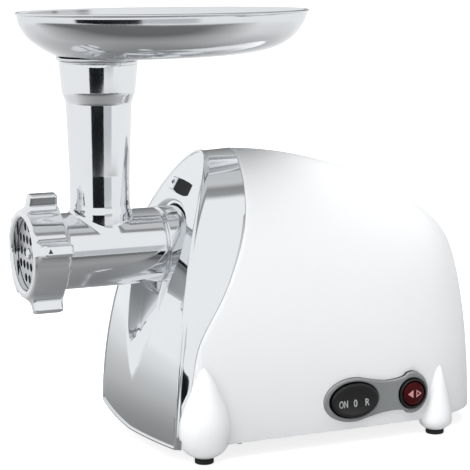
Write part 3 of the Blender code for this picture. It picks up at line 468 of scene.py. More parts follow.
def casing_rings(inset, shift, turns):
    rows = []
    fronts = [seam_point(turn, inset, shift)[0] for turn in turns]
    for i in range(29):
        t = i / 28
        rows.append([arch(f + (275.0 - f) * t, turn, inset) for f, turn in zip(fronts, turns)])
    length = BODY_REAR - BODY_TAPER_START
    for i in range(1, 57):
        x = 381.35 - (381.35 - 275.0) * (1.0 - i / 56) ** 2.2
        inner_x = BODY_TAPER_START + (x - BODY_TAPER_START) * (length - inset) / length
        rows.append([arch(inner_x, turn, inset) for turn in turns])
    return rows


def catmull(p0, p1, p2, p3, steps):
    """Points of the Catmull-Rom piece from p1 up to, and not including, p2."""
    return [
        tuple(
            0.5 * (2 * b + (c - a) * t + (2 * a - 5 * b + 4 * c - d) * t * t
                   + (3 * b - a - 3 * c + d) * t ** 3)
            for a, b, c, d in zip(p0, p1, p2, p3)
        )
        for t in (j / steps for j in range(steps))
    ]


def smooth_loop(points, steps):
    """Closed smooth curve through points."""
    count = len(points)
    return [
        spot for i in range(count)
        for spot in catmull(*(points[(i + k) % count] for k in (-1, 0, 1, 2)), steps)
    ]


def smooth_path(points, steps):
    """Open smooth curve through points."""
    last = len(points) - 1
    return [
        spot for i in range(last)
        for spot in catmull(*(points[min(max(i + k, 0), last)] for k in (-1, 0, 1, 2)), steps)
    ] + [points[-1]]


def panel_outline(grow=0.0):
    """Figure-eight switch plate outline as (x, z about the panel line)."""
    points = []
    for i in range(15):
        a = math.radians(62.0 + (298.0 - 62.0) * i / 14.0)
        points.append((ROCKER_X + (27.0 + grow) * math.cos(a), (17.8 + grow) * math.sin(a)))
    points.append((277.5, -12.8 - grow))
    for i in range(13):
        a = math.radians(-128.0 + 256.0 * i / 12.0)
        points.append((BUTTON_X + (14.6 + grow) * math.cos(a), (17.2 + grow) * math.sin(a) + 0.6))
    points.append((277.5, 12.8 + grow))
    return smooth_loop(points, 4)


def restore_normals(mesh, pattern):
    """Shade a cut mesh like the uncut one, except on the walls of the cut."""
    tree = BVHTree.FromPolygons([v.co for v in pattern.vertices],
                                [tuple(p.vertices) for p in pattern.polygons])
    corner = [Vector(n.vector) for n in pattern.corner_normals]
    normals = []
    for face in mesh.polygons:
        for i in face.vertices:
            place = mesh.vertices[i].co
            spot, flat, index, _ = tree.find_nearest(place)
            near = pattern.polygons[index]
            if flat is None or flat.dot(face.normal) < 0.8:
                normals.append(face.normal.copy())
                continue
            total = Vector((0, 0, 0))
            for loop in near.loop_indices:
                at_corner = pattern.vertices[pattern.loops[loop].vertex_index].co
                total += corner[loop] / (1e-7 + (at_corner - spot).length_squared)
            normals.append(total.normalized())
    mesh.normals_split_custom_set(normals)


def build_casing():
    columns = 96
    turns = [math.pi * j / columns for j in range(columns + 1)]
    outer = casing_rings(0.0, 0.55, turns)
    lip = [[seam_point(turn, inset, shift) for turn in turns]
           for inset, shift in ((WALL, 0.15), (1.2, 0.15), (0.35, 0.22), (0.08, 0.36))]
    inner = casing_rings(WALL, 0.15, turns)
    rows = list(reversed(inner)) + lip[1:] + outer
    width = columns + 1
    verts = [p for row in rows for p in row]
    faces = []
    for i in range(len(rows) - 1):
        for j in range(columns):
            a = i * width + j
            faces.append((a, a + 1, a + width + 1, a + width))
    last = (len(rows) - 1) * width
    faces.append(tuple(range(width)))
    faces.append(tuple(range(last, last + width)))
    split = len(inner)
    for j in (0, columns):
        for i in range(split - 1):
            lower = i * width + j
            k = len(rows) - 1 - i
            upper = k * width + j
            faces.append((lower, lower + width, upper - width, upper))
    piece = add_piece("casing_shell", verts, faces, WHITE, "body", replaced=["main_casing"],
                      slot="white_plastic", sharp=40.0)
    pattern = piece.data.copy()
    outline = panel_outline(GAP)
    rings = [[(x, y, PANEL_Z + z) for x, z in outline] for y in (-110.0, -78.0)]
    cut(piece, cutter_from("panel_hole", rings))
    gland = [[(x, 6.0 * a, -118.0 + 6.0 * b) for a, b in circle(32, 1.0)] for x in (370.0, 400.0)]
    cut(piece, cutter_from("gland_hole", gland))
    restore_normals(piece.data, pattern)
    return piece


# ---- chrome front ------------------------------------------------------------------
FRONT_LINE = [
    bezier((89.0, -152.0), (89.0, -90.0), (103.0, 4.0), (152.0, 74.0), i / 96)
    for i in range(97)
]
FRONT_X_AT, FRONT_Z_AT = zip(*FRONT_LINE)
RECESS_TIP_Z = -112.0
RECESS_FLOOR_X = 131.0
RIDGE_COLUMNS = 24
SILL_COLUMNS = 8
SINK_SHARE = [0.0, 0.41, 0.45, 0.49, 0.68, 0.72, 0.76, 0.93, 0.975, 1.0]
SINK_DEPTH = [1.0, 1.0, 0.97, 0.90, 0.56, 0.48, 0.41, 0.105, 0.025, 0.0]


def front_x(y, z):
    centre = float(np.interp(z, FRONT_Z_AT, FRONT_X_AT))
    return centre + y * y / (2.0 * 505.0)


def ridge(t):
    half = min(t, 1.0 - t) * 2.0
    y, z = bezier((81.0, BODY_BASE), (88.0, -72.0), (52.0, 70.0), (0.0, 74.0), half)
    y = -y if t < 0.5 else y
    return (front_x(y, z), y, z)


def teardrop(v):
    """Recess outline; v runs 0 (lower tip) to 1 (top); returns (half width, z)."""
    if v < 0.6:
        z = RECESS_TIP_Z * (1.0 - v / 0.6)
        return (44.0 * (1.0 - (z / RECESS_TIP_Z) ** 1.35) ** 0.8, z)
    a = (v - 0.6) / 0.4 * math.pi / 2.0
    return (44.0 * math.cos(a), 37.0 * math.sin(a))


def fascia_line(k):
    """Radial line from the socket hole out to the seam at column position k."""
    if k <= RIDGE_COLUMNS:
        t = k / RIDGE_COLUMNS
        edge = ridge(t)
        v = 0.22 + 0.78 * min(t, 1.0 - t) * 2.0
        side = -1.0 if t < 0.5 else 1.0
        seam = seam_point(math.pi * t, 0.0, -GAP)
    else:
        t = (k - RIDGE_COLUMNS) / SILL_COLUMNS
        y = 81.0 * (1.0 - 2.0 * t)
        side = 1.0 if y > 0 else -1.0
        z = BODY_BASE - 3.5 * (1.0 - abs(y) / 81.0)
        edge = (front_x(y, z), y, z)
        v = 0.22 * abs(y) / 81.0
        seam = (97.8, y, BODY_BASE)
    half, zt = teardrop(v)
    angle = math.pi * (v - 0.5)
    hole = (side * 32.4 * math.cos(angle), 32.4 * math.sin(angle))
    points = [(RECESS_FLOOR_X + d, *hole) for d in (6.0, 2.0, 0.5)]
    shares = [0.01, 0.03, 0.1, 0.2, 0.3, 0.38, 0.41, 0.43, 0.45, 0.47, 0.49, 0.55, 0.62, 0.68,
              0.70, 0.72, 0.74, 0.76, 0.82, 0.88, 0.93, 0.955, 0.975, 0.99, 1.0]
    for share in shares:
        y = hole[0] + (side * half - hole[0]) * share
        z = hole[1] + (zt - hole[1]) * share
        x = front_x(y, z)
        tip_x = front_x(0.0, RECESS_TIP_Z) + 1.0
        floor = max(float(np.interp(z, [RECESS_TIP_Z, -34.0], [tip_x, RECESS_FLOOR_X])), x + 0.6)
        sink = float(np.interp(share, SINK_SHARE, SINK_DEPTH))
        points.append((x + (floor - x) * sink, y, z))
    rim = points[-1]
    reach = max(math.hypot(edge[1] - rim[1], edge[2] - rim[2]), 1e-6)
    stop = max(1.0 - 2.0 / reach, 0.5)
    for i in range(1, 21):
        s = stop * i / 20
        y = rim[1] + (edge[1] - rim[1]) * s
        z = rim[2] + (edge[2] - rim[2]) * s
        points.append((front_x(y, z), y, z))
    return points, edge, rim, seam


def build_fascia():
    total = RIDGE_COLUMNS + SILL_COLUMNS
    steps = 8
    lines = [fascia_line(k / steps) for k in range(total * steps)]
    count = len(lines)
    columns = []
    for k, (points, edge, rim, seam) in enumerate(lines):
        edge_v = Vector(edge)
        tangent = Vector(lines[(k + 1) % count][1]) - Vector(lines[k - 1][1])
        tangent.normalize()
        face = Vector((-1.0, edge[1] / 505.0, 0.35)).normalized()
        out = face.cross(tangent)
        out.normalize()
        if out.dot(edge_v - Vector(rim)) < 0:
            out = -out
        face = tangent.cross(out)
        if face.x > 0:
            face = -face
        column = list(points)
        for degrees in (5, 35, 65, 95, 125, 150):
            a = math.radians(degrees)
            spot = edge_v + 1.25 * (face * (math.sin(a) * 0.8) - out * math.cos(a))
            column.append(tuple(spot))
        column.append(tuple(edge_v + out * 1.3 - face * 0.4))
        column.append(tuple(edge_v + out * 1.35 - face * 1.5))
        seam_v = Vector(seam)
        start = edge_v + out * 1.0 - face * 1.9
        column += [tuple(start.lerp(seam_v, i / 21)) for i in range(1, 22)]
        columns.append(column)
    grid = np.array(columns)
    rows = grid.shape[1]
    along = np.empty_like(grid)
    along[:, 1:-1] = grid[:, 2:] - grid[:, :-2]
    along[:, 0] = grid[:, 1] - grid[:, 0]
    along[:, -1] = grid[:, -1] - grid[:, -2]
    across = np.roll(grid, -1, axis=0) - np.roll(grid, 1, axis=0)
    normal = np.cross(along, across)
    normal /= np.maximum(np.linalg.norm(normal, axis=2, keepdims=True), 1e-9)
    inner = grid - normal * 1.6
    low = BODY_BASE + 1.6
    inner[:, -1] = [
        (x, y * 0.98, max(z - 1.5, low)) for x, y, z in (line[3] for line in lines)
    ]
    rings = [[tuple(grid[k][i]) for k in range(count)] for i in range(rows)]
    rings += [[tuple(inner[k][i]) for k in range(count)] for i in (rows - 1, 4, 0)]
    return add_rings("chrome_front", rings, CHROME, "body", closed=True,
                     replaced=["front_fascia"], slot="chrome", sharp=89.0)


def latch_frame(a, b, out):
    tilt = math.radians(30.0)
    x = 135.2 + b * math.sin(tilt) - out * math.cos(tilt)
    z = 45.0 + b * math.cos(tilt) + out * math.sin(tilt)
    return (x, a, z)


def build_latch():
    sections = [(-8.5, 3.5, 2.6, 0.0), (-5.0, 3.5, 2.6, 0.0), (-5.0, 5.7, 6.2, 0.0),
                (4.0, 5.7, 6.2, 0.0), (8.0, 5.2, 5.2, 0.4), (8.8, 4.4, 4.4, 0.5)]
    rings = []
    for out, half_a, half_b, lift in sections:
        ring = []
        for sa, sb in ((-1, -1), (1, -1), (1, 1), (-1, 1)):
            ring.append(latch_frame(sa * half_a, sb * half_b + lift, out))
        rings.append(ring)
    button = add_rings("latch_button", rings, CHROME, "latch", replaced=["release_button"],
                       slot="chrome", sharp=35.0)
    slot_rings = []
    for out in (6.4, 10.0):
        slot_rings.append([latch_frame(2.9 * a, 1.7 * b + 1.2, out) for a, b in circle(24, 1.0)])
    cut(button, cutter_from("latch_slot", slot_rings))
    # Painted dark reflection: the chrome latch's faces that look along -Y get black gloss to stand
    # for the dark reflection on its near side.
    button.data.materials.append(BLACK)
    for face in button.data.polygons:
        if face.normal.y < -0.85:
            face.material_index = 1
    add_bevel(button, 0.5, 3)
    return button


# ---- cast head and ring ------------------------------------------------------------
def rounded_max(a, b, reach):
    return -smooth_union(-a, -b, reach)


def head_field(x, y, z):
    r = np.sqrt(y * y + z * z)
    outer_r = np.interp(x, [6.0, 27.5, 29.6, 31.0, 111.0, 111.8, 113.2, 114.0, 159.0, 160.0],
                        [33.0, 33.0, 30.7, 30.3, 30.3, 28.6, 28.6, 30.6, 30.6, 29.8])
    barrel = rounded_max(r - outer_r, np.maximum(6.2 - x, x - 160.0), 1.2)
    across = np.sqrt((x - NECK_X) ** 2 + y * y)
    neck_r = np.interp(z, [5.0, 30.5, 36.0, 60.0, 116.4, 117.6, 123.8, 125.2, 146.6, 147.2,
                           147.9, 148.5, 149.3],
                       [24.6, 24.6, 23.8, 23.9, 25.9, 26.2, 28.6, 28.9, 30.8, 30.3, 30.3,
                        31.0, 31.0])
    neck = rounded_max(across - neck_r, np.maximum(5.0 - z, z - 149.3), 0.8)
    solid = smooth_union(barrel, neck, 2.6)
    u = -0.80 * (x - NECK_X) - 0.60 * y - 24.1
    v = 0.60 * (x - NECK_X) - 0.80 * y
    drop_r = np.interp(z, [31.0, 33.5, 38.0, 48.0], [0.3, 1.6, 0.9, 0.2])
    drop = np.maximum(np.sqrt(u * u + v * v) - drop_r, np.maximum(31.0 - z, z - 49.0))
    solid = smooth_union(solid, drop, 0.9)
    bore_r = np.where(x < 16.6, 31.2, np.where(x < 146.0, 26.6, 9.0))
    bore = r - bore_r
    throat_r = np.where(z < 125.2, 20.5 + z * 0.0192, 26.6)
    throat = np.maximum(across - throat_r, -z)
    solid = rounded_max(solid, -bore, 0.6)
    return rounded_max(solid, -throat, 0.8)


def rounded_box(px, py, pz, bx, by, bz, radius):
    qx = np.abs(px) - (bx - radius)
    qy = np.abs(py) - (by - radius)
    qz = np.abs(pz) - (bz - radius)
    outside = np.sqrt(np.maximum(qx, 0) ** 2 + np.maximum(qy, 0) ** 2 + np.maximum(qz, 0) ** 2)
    return outside + np.minimum(np.maximum(qx, np.maximum(qy, qz)), 0.0) - radius


LUG_ANGLES_DEG = (24.0, 96.0, 169.0, 250.0, 314.0)
NEAR_LUG_DEG = LUG_ANGLES_DEG[2]


def ring_field(x, y, z):
    r = np.sqrt(y * y + z * z)
    solid = rounded_max(r - 35.1, np.maximum(-x, x - 29.0), 2.4)
    for degrees in LUG_ANGLES_DEG:
        turn = math.radians(degrees)
        u = y * math.cos(turn) + z * math.sin(turn)
        v = -y * math.sin(turn) + z * math.cos(turn)
        slope = np.clip((u - 36.0) * 0.12, 0.0, 2.0)
        lug = rounded_box(x - 15.4 - slope * 0.5, u - 35.5, v, 12.4 - slope * 0.5, 12.5, 4.9, 2.4)
        solid = smooth_union(solid, lug, 6.0)
    opening = np.where(x < 5.8, 28.5 + np.clip(1.4 - x, 0.0, 1.4), 33.4)
    return rounded_max(solid, opening - r, 0.8)


def build_ring_mark():
    """Small raised pointer on the tip of the near lug."""
    turn = math.radians(NEAR_LUG_DEG)
    corners = ((7.0, -1.7), (10.6, -1.7), (8.8, 1.9))
    layers = [
        [(x, radius * math.cos(turn) + v * math.sin(turn),
          radius * math.sin(turn) - v * math.cos(turn)) for x, v in corners]
        for radius in (47.0, 48.2)
    ]
    add_rings("ring_pointer", layers, BLACK_MATT, "ring", slot="black_plastic")


# ---- tray --------------------------------------------------------------------------
TRAY_SECTIONS = [
    # (height, front end, rear end, half width)
    (150.4, 39.0, 98.0, 28.0), (151.2, 36.6, 136.0, 38.0), (152.4, 33.6, 182.0, 48.0),
    (155.2, 28.0, 206.0, 54.5), (160.0, 19.6, 221.5, 60.3), (167.5, 9.8, 232.5, 64.8),
    (177.0, 3.4, 240.0, 67.2), (184.0, 1.5, 243.0, 68.1), (186.0, 1.2, 243.8, 68.3),
]
SPOUT = (39.5, 91.5, 26.0)


def tray_ring(front, rear, half_width, z, grow, count):
    centre = (front + rear) / 2.0
    a = (rear - front) / 2.0 + grow
    b = half_width + grow
    return [(centre + a * p, b * q, z) for p, q in circle(count, 1.0)]


def build_tray():
    count = 144
    way = smooth_path(TRAY_SECTIONS, 6)
    rings = [tray_ring(*SPOUT, z, -1.2, count) for z in (126.0, 138.0, 149.6)]
    rings.append(tray_ring(39.3, 93.0, 26.4, 150.9, -1.2, count))
    rings += [tray_ring(front, rear, half, z + 1.2, -1.2, count) for z, front, rear, half in way]
    _, front, rear, half = way[-1]
    for degrees in range(0, 301, 30):
        a = math.radians(150.0 - degrees)
        rings.append(tray_ring(front, rear, half, 186.1 + 1.1 * math.sin(a),
                               0.1 + 1.0 * math.cos(a), count))
    rings += [tray_ring(front, rear, half, z, 0.0, count)
              for z, front, rear, half in reversed(way[3:-6])]
    for z, grow in ((151.9, 7.0), (151.2, 7.2), (150.5, 6.9), (150.1, 6.4), (149.8, 5.9),
                    (149.65, 5.4), (149.65, 0.35), (149.0, 0.3), (126.0, 0.3)):
        rings.append(tray_ring(*SPOUT, z, grow, count))
    return add_rings("feed_tray", rings, STAINLESS, "tray", closed=True,
                     replaced=["hopper_tray"], slot="steel", sharp=50.0)


# ---- prisms with rounded edges -----------------------------------------------------
def add_prism(name, outlines, start, end, material, body, axis="X", centre=(0, 0, 0),
              round_edge=0.0, **options):
    """Outline with holes drawn out along X or Y; outlines[0] is the outer edge."""
    curve = bpy.data.curves.new(name + "_curve", "CURVE")
    curve.dimensions = "2D"
    curve.fill_mode = "BOTH"
    curve.extrude = (abs(end - start) * 0.5 - round_edge) * 0.001
    curve.bevel_depth = round_edge * 0.001
    curve.bevel_resolution = 2
    curve.offset = -round_edge * 0.001
    for outline in outlines:
        spline = curve.splines.new("POLY")
        spline.points.add(len(outline) - 1)
        for point, (a, b) in zip(spline.points, outline):
            point.co = (a * 0.001, b * 0.001, 0.0, 1.0)
        spline.use_cyclic_u = True
    source = scene_object(name + "_source", curve)
    bpy.context.view_layer.update()
    graph = bpy.context.evaluated_depsgraph_get()
    mesh = bpy.data.meshes.new_from_object(source.evaluated_get(graph))
    bpy.data.objects.remove(source, do_unlink=True)
    cx, cy, cz = centre
    middle = (start + end) / 2.0
    if axis == "X":
        turn = Matrix(((0, 0, 1), (1, 0, 0), (0, 1, 0))).to_4x4()
        place = at((cx + middle, cy, cz))
    else:
        turn = Matrix(((1, 0, 0), (0, 0, 1), (0, 1, 0))).to_4x4()
        place = at((cx, cy + middle, cz))
    mesh.transform(Matrix.Translation(place) @ turn)
    verts = [tuple(v.co) for v in mesh.vertices]
    faces = [tuple(p.vertices) for p in mesh.polygons]
    piece = add_piece(name, verts, faces, material, body, metres=True, **options)
    weighted = piece.modifiers.new("weighted", "WEIGHTED_NORMAL")
    weighted.keep_sharp = True
    weighted.weight = 100
    return piece


PLATE_HOLES = [
    # (row height, hole positions along the row)
    (0.0, (-19.4, -10.2, 10.2, 19.4)),
    (10.3, (-21.6, -13.0, -4.4, 4.4, 13.0, 21.6)),
    (-10.3, (-21.6, -13.0, -4.4, 4.4, 13.0, 21.6)),
    (20.4, (-9.0, 0.0, 9.0)),
    (-20.4, (-9.0, 0.0, 9.0)),
]


def build_plate():
    holes = [circle(32, 4.4)]
    for row, columns in PLATE_HOLES:
        for column in columns:
            holes.append([(column + p, row + q) for p, q in circle(32, 3.4)])
    add_prism("mincing_plate", [circle(96, 30.9)] + holes, 6.1, 11.1, MACHINED, "head",
              round_edge=0.35, replaced=["cutting_plate"], slot="steel", sharp=60.0)


# ---- legs and feet -----------------------------------------------------------------
FRONT_POD = [
    (0.0, 0.0), (0.015, 1.6), (0.04, 3.2), (0.165, 8.6), (0.315, 13.2), (0.466, 17.2),
    (0.60, 19.8), (0.72, 20.5), (0.82, 19.8), (0.89, 17.8), (0.95, 14.2), (0.985, 10.5),
    (1.0, 8.3),
]
REAR_POD = [
    (0.0, 0.0), (0.01, 0.8), (0.035, 1.5), (0.08, 2.6), (0.25, 5.6), (0.41, 7.9),
    (0.574, 10.2), (0.74, 12.4), (0.82, 13.2), (0.88, 13.4), (0.93, 12.6), (0.97, 10.4),
    (1.0, 8.2),
]


def build_leg(label, node, x, side, tip_z, bottom_z, profile, lean):
    rings = []
    for share, radius in smooth_path(profile, 5):
        z = tip_z + (bottom_z - tip_z) * share
        cx = x + lean[0] * (1.0 - share)
        cy = side * (85.9 - lean[1] * (1.0 - share))
        rings.append([(cx + a, cy + b, z) for a, b in circle(64, max(radius, 0.02))])
    add_rings(label, rings, WHITE, "body", replaced=[node], slot="white_plastic", sharp=50.0)


def build_foot(label, node, x, side, top_z):
    base = GROUND
    profile = [(base, 0.5), (base, 6.2), (base + 0.25, 7.0), (base + 0.8, 7.5),
               (top_z - 1.4, 7.5), (top_z - 1.1, 7.2), (top_z - 0.8, 7.5), (top_z, 7.5),
               (top_z, 0.5)]
    add_lathe(label, profile, RUBBER, "body", axis="Z", centre=(x, side * 85.9, 0), count=48,
              replaced=[node], slot="rubber", sharp=40.0)


# ---- switches ----------------------------------------------------------------------
def oval(x, half_x, half_z):
    return [(x + half_x * p, half_z * q) for p, q in circle(64, 1.0)]


def add_mark(name, outlines, face_y, material, body, centre_x):
    """Thin printed mark standing 0.12 mm off a face that looks along -Y."""
    outlines = [[(centre_x + a, b) for a, b in outline] for outline in outlines]
    add_prism(name, outlines, face_y - 0.12, face_y + 0.1, material, body, axis="Y",
              centre=(0, 0, PANEL_Z), sharp=30.0)


def add_text(name, text, height, width, place, material, body):
    """Raised printed word facing -Y, its middle at place."""
    curve = bpy.data.curves.new(name + "_curve", "FONT")
    curve.body = text
    curve.align_x = "CENTER"
    curve.align_y = "CENTER"
    curve.size = height * 0.001
    curve.extrude = 0.00035
    source = scene_object(name + "_source", curve)
    bpy.context.view_layer.update()
    graph = bpy.context.evaluated_depsgraph_get()
    mesh = bpy.data.meshes.new_from_object(source.evaluated_get(graph))
    bpy.data.objects.remove(source, do_unlink=True)
    turn = Matrix(((width, 0, 0), (0, 0, -1), (0, 1, 0))).to_4x4()
    mesh.transform(Matrix.Translation(at(place)) @ turn)
    verts = [tuple(v.co) for v in mesh.vertices]
    faces = [tuple(p.vertices) for p in mesh.polygons]
    add_piece(name, verts, faces, material, body, metres=True, slot="black_plastic")


def build_switches():
    holes = [oval(ROCKER_X, 22.4, 15.0), oval(BUTTON_X, 12.9, 12.9)]
    add_prism("switch_plate", [panel_outline()] + holes, -89.0, -85.6, SATIN, "body", axis="Y",
              centre=(0, 0, PANEL_Z), round_edge=1.1, replaced=["switch_panel"],
              slot="grey_plastic", sharp=60.0)
    rings = []
    for y, half_x, half_z in ((-81.4, 4.0, 8.0), (-85.4, 7.0, 9.0), (-85.4, 21.2, 14.0)):
        rings.append([(x, y, PANEL_Z + z) for x, z in oval(ROCKER_X, half_x, half_z)])
    for degrees in range(0, 91, 15):
        a = math.radians(degrees)
        y = -89.6 - 1.6 * math.sin(a)
        inset = 1.6 * (1.0 - math.cos(a))
        rings.append([(x, y, PANEL_Z + z) for x, z in oval(ROCKER_X, 21.2 - inset, 14.0 - inset)])
    for i in range(1, 13):
        s = i / 12
        dish = 1.5 * (1.0 - (1.0 - s) ** 2.2)
        scale = 1.0 - s * 0.97
        rings.append([(x, -91.2 + dish, PANEL_Z + z - 0.8 * s)
                      for x, z in oval(ROCKER_X, 19.0 * scale, 11.9 * scale)])
    add_rings("rocker_cap", rings, BLACK, "rocker", replaced=["rocker_switch"],
              slot="black_plastic", sharp=45.0)
    add_lathe("button_ring", rounded(
        [(-90.4, 10.5), (-91.0, 11.1), (-90.4, 12.3), (-82.4, 12.5), (-82.4, 10.0)], 0.4,
        closed=True), BLACK, "body", axis="Y", centre=(BUTTON_X, 0, PANEL_Z), count=72,
        closed=True, replaced=["button_bezel"], slot="black_plastic", sharp=45.0)
    dome = [(-83.6, 0.5), (-83.6, 9.6)]
    for i in range(0, 13):
        r = 9.5 * (1.0 - i / 12)
        dome.append((-90.5 - 1.9 * (1.0 - (r / 9.5) ** 3.5), r + 0.02))
    add_lathe("reverse_cap", dome, RED, "reverse", axis="Y", centre=(BUTTON_X, 0, PANEL_Z),
              count=72, replaced=["reverse_button"], slot="red_plastic", sharp=45.0)
    add_mark("mark_left", [[(-6.2, 0.3), (-1.4, 3.6), (-1.4, -3.0)]], -92.4, PINK, "reverse",
             BUTTON_X)
    add_mark("mark_right", [[(6.2, 0.3), (1.4, 3.6), (1.4, -3.0)],
                            [(4.7, 0.3), (2.2, 2.0), (2.2, -1.4)]], -92.4, PINK, "reverse",
             BUTTON_X)
    for label, text, x, width in (("on", "ON", -10.6, 0.62), ("off", "0", 0.2, 0.8),
                                  ("back", "R", 10.8, 0.8)):
        add_text("mark_" + label, text, 8.4, width, (ROCKER_X + x, -90.35, PANEL_Z - 2.6), PALE,
                 "rocker")


# ---- fittings ----------------------------------------------------------------------
def build_fittings():
    add_lathe("cord_bush", rounded(
        [(375.0, 3.2), (375.0, 8.4), (376.6, 8.4), (376.6, 5.6), (381.9, 5.6), (381.9, 8.4),
         (383.8, 8.4), (384.4, 5.8), (387.8, 5.0), (387.8, 3.2)], 0.5, closed=True),
        BLACK_MATT, "body", centre=(0, 0, -118.0), count=48, closed=True,
        replaced=["cord_inlet"], slot="black_plastic", sharp=45.0)
    add_lathe("barrel_socket", rounded(
        [(138.0, 31.0), (138.0, 35.6), (160.0, 35.6), (163.0, 41.0), (170.7, 41.0),
         (170.7, 11.6), (163.5, 11.6), (163.5, 31.0)], 0.8, closed=True),
        CAST, "body", count=96, closed=True, replaced=["head_socket"], slot="cast_polished",
        sharp=45.0)


# ---- assembly ----------------------------------------------------------------------
build_casing()
build_fascia()
build_latch()
points, faces = surface_net(head_field, (5.0, -35.2, -35.2), (161.4, 35.2, 151.0), 0.8)
add_piece("cast_head", points, faces, CAST, "head", replaced=["grinder_head"],
          slot="cast_polished", sharp=60.0)
points, faces = surface_net(ring_field, (-1.4, -50.4, -50.4), (30.4, 50.4, 50.4), 0.7)
add_piece("screw_ring", points, faces, CAST, "ring", replaced=["locking_ring"],
          slot="cast_polished", sharp=60.0)
build_ring_mark()
build_tray()
build_plate()
for near, side in (("near", -1), ("far", 1)):
    build_leg("front_leg_" + near, "leg_pod_front_" + near, 118.1, side, -84.3, -154.2,
              FRONT_POD, (0.5, 1.0))
    build_leg("rear_leg_" + near, "leg_pod_rear_" + near, 325.1, side, -104.0, -154.8,
              REAR_POD, (6.0, 4.0))
    build_foot("front_pad_" + near, "foot_front_" + near, 118.1, side, -154.5)
    build_foot("rear_pad_" + near, "foot_rear_" + near, 325.1, side, -155.1)
build_switches()
build_fittings()


# ---- stage, light and camera -------------------------------------------------------
def reflected_card(name, corners):
    """Glowing flat shape that only reflections see; returns its node tree and emission."""
    mesh = bpy.data.meshes.new(name)
    mesh.from_pydata([Vector(c) for c in corners], [], [tuple(range(len(corners)))])
    card = scene_object(name, mesh)
    material, tree, shader = new_material(name + "_finish")
    tree.nodes.remove(shader)
    emission = tree.nodes.new("ShaderNodeEmission")
    tree.links.new(emission.outputs["Emission"], tree.nodes["Material Output"].inputs["Surface"])
    mesh.materials.append(material)
    card.visible_camera = False
    card.visible_diffuse = False
    card.visible_shadow = False
    card.visible_transmission = False
    return tree, emission


def area_light(name, place, target, side, power):
    """Square soft light that lights surfaces and is not seen in reflections."""
    light = bpy.data.lights.new(name, "AREA")
    light.shape = "RECTANGLE"
    light.size = light.size_y = side
    light.energy = power
    obj = scene_object(name, light)
    obj.location = place
    direction = Vector(target) - Vector(place)
    obj.rotation_euler = direction.to_track_quat("-Z", "Y").to_euler()
    obj.visible_glossy = False


floor_mesh = bpy.data.meshes.new("floor")
floor_mesh.from_pydata([(-6, -6, 0), (6, -6, 0), (6, 6, 0), (-6, 6, 0)], [], [(0, 1, 2, 3)])
floor = scene_object("floor", floor_mesh)
floor_paint, floor_tree, floor_shader = new_material("floor_paper")
floor_shader.inputs["Base Color"].default_value = (0.58, 0.58, 0.58, 1.0)
floor_shader.inputs["Roughness"].default_value = 0.9
floor_shader.inputs["Emission Color"].default_value = (1.0, 1.0, 1.0, 1.0)
floor_path = floor_tree.nodes.new("ShaderNodeLightPath")
floor_tree.links.new(spread(floor_tree, floor_path.outputs["Is Camera Ray"], 0.05, 0.80, 0.0, 1.0),
                     floor_shader.inputs["Emission Strength"])
floor_mesh.materials.append(floor_paint)
floor.visible_glossy = False

BACK = Vector((-0.40210, -0.90018, 0.16729))


def around(turn_deg, distance, height):
    """Point on the floor circle; 0 is the camera's direction, positive to its right."""
    a = math.radians(turn_deg)
    flat = Vector((BACK.x, BACK.y, 0.0)).normalized()
    side = Vector((-flat.y, flat.x, 0.0))
    spot = flat * math.cos(a) + side * math.sin(a)
    return (spot.x * distance, spot.y * distance, height)


def wall_card(name, start, end, distance, high, colour):
    """Upright card from the floor up, between two directions around the object."""
    a, b = around(start, distance, 0.0), around(end, distance, 0.0)
    _, emission = reflected_card(name, [a, b, (b[0], b[1], high), (a[0], a[1], high)])
    emission.inputs["Color"].default_value = (*colour, 1.0)


def grey_ramp(tree, value, stops):
    ramp = tree.nodes.new("ShaderNodeValToRGB")
    while len(ramp.color_ramp.elements) < len(stops):
        ramp.color_ramp.elements.new(0.5)
    for element, (place, level) in zip(ramp.color_ramp.elements, stops):
        element.position = place
        element.color = (level * 0.99, level, level * 1.01, 1.0)
    tree.links.new(value, ramp.inputs["Fac"])
    return ramp.outputs["Color"]


AWAY = (0.408, 0.913, 0.0)  # level direction from the camera to the object
GROUND_LEVELS = (
    # (share of the radius, grey level)
    (0.0, 0.23), (0.10, 0.25), (0.15, 0.31), (0.26, 0.50), (0.55, 0.76), (1.0, 0.93),
)
CEILING_LEVELS = (
    # (share of the arc from behind the object, over it, towards the camera; grey level)
    (0.0, 0.20), (0.12, 0.30), (0.42, 0.55), (0.655, 0.50), (0.67, 0.16), (0.70, 0.16),
    (0.72, 0.60), (0.86, 0.62), (0.90, 0.28), (0.95, 0.34), (0.975, 0.95), (1.0, 0.95),
)
CEILING_END = -0.44  # the ceiling's edge, as a part of AWAY


def along(tree, vector, direction):
    """How far a vector runs along a fixed direction."""
    node = tree.nodes.new("ShaderNodeVectorMath")
    node.operation = "DOT_PRODUCT"
    node.inputs[1].default_value = direction
    tree.links.new(vector, node.inputs[0])
    return node.outputs["Value"]


def ground_disc(name, radius, height):
    """Grey disc on the floor, lighter towards its rim and darker on the camera's side."""
    tree, emission = reflected_card(
        name, [(radius * a, radius * b, height) for a, b in circle(96, 1.0)])
    place = tree.nodes.new("ShaderNodeTexCoord").outputs["Object"]
    length = tree.nodes.new("ShaderNodeVectorMath")
    length.operation = "LENGTH"
    tree.links.new(place, length.inputs[0])
    share = spread(tree, length.outputs["Value"], 0.0, 1.0, 0.0, radius)
    tree.links.new(grey_ramp(tree, share, GROUND_LEVELS), emission.inputs["Color"])
    near = along(tree, place, (-AWAY[0], -AWAY[1], 0.0))
    tree.links.new(spread(tree, near, 1.0, 0.2, 0.12, 0.55), emission.inputs["Strength"])


ground_disc("ground_tint", 1.05, 0.0004)
wall_card("grey_side", 16.0, 44.0, 1.25, 0.3, (0.56, 0.58, 0.60))
wall_card("dark_gap", -27.0, 15.0, 1.15, 0.17, (0.008, 0.009, 0.011))


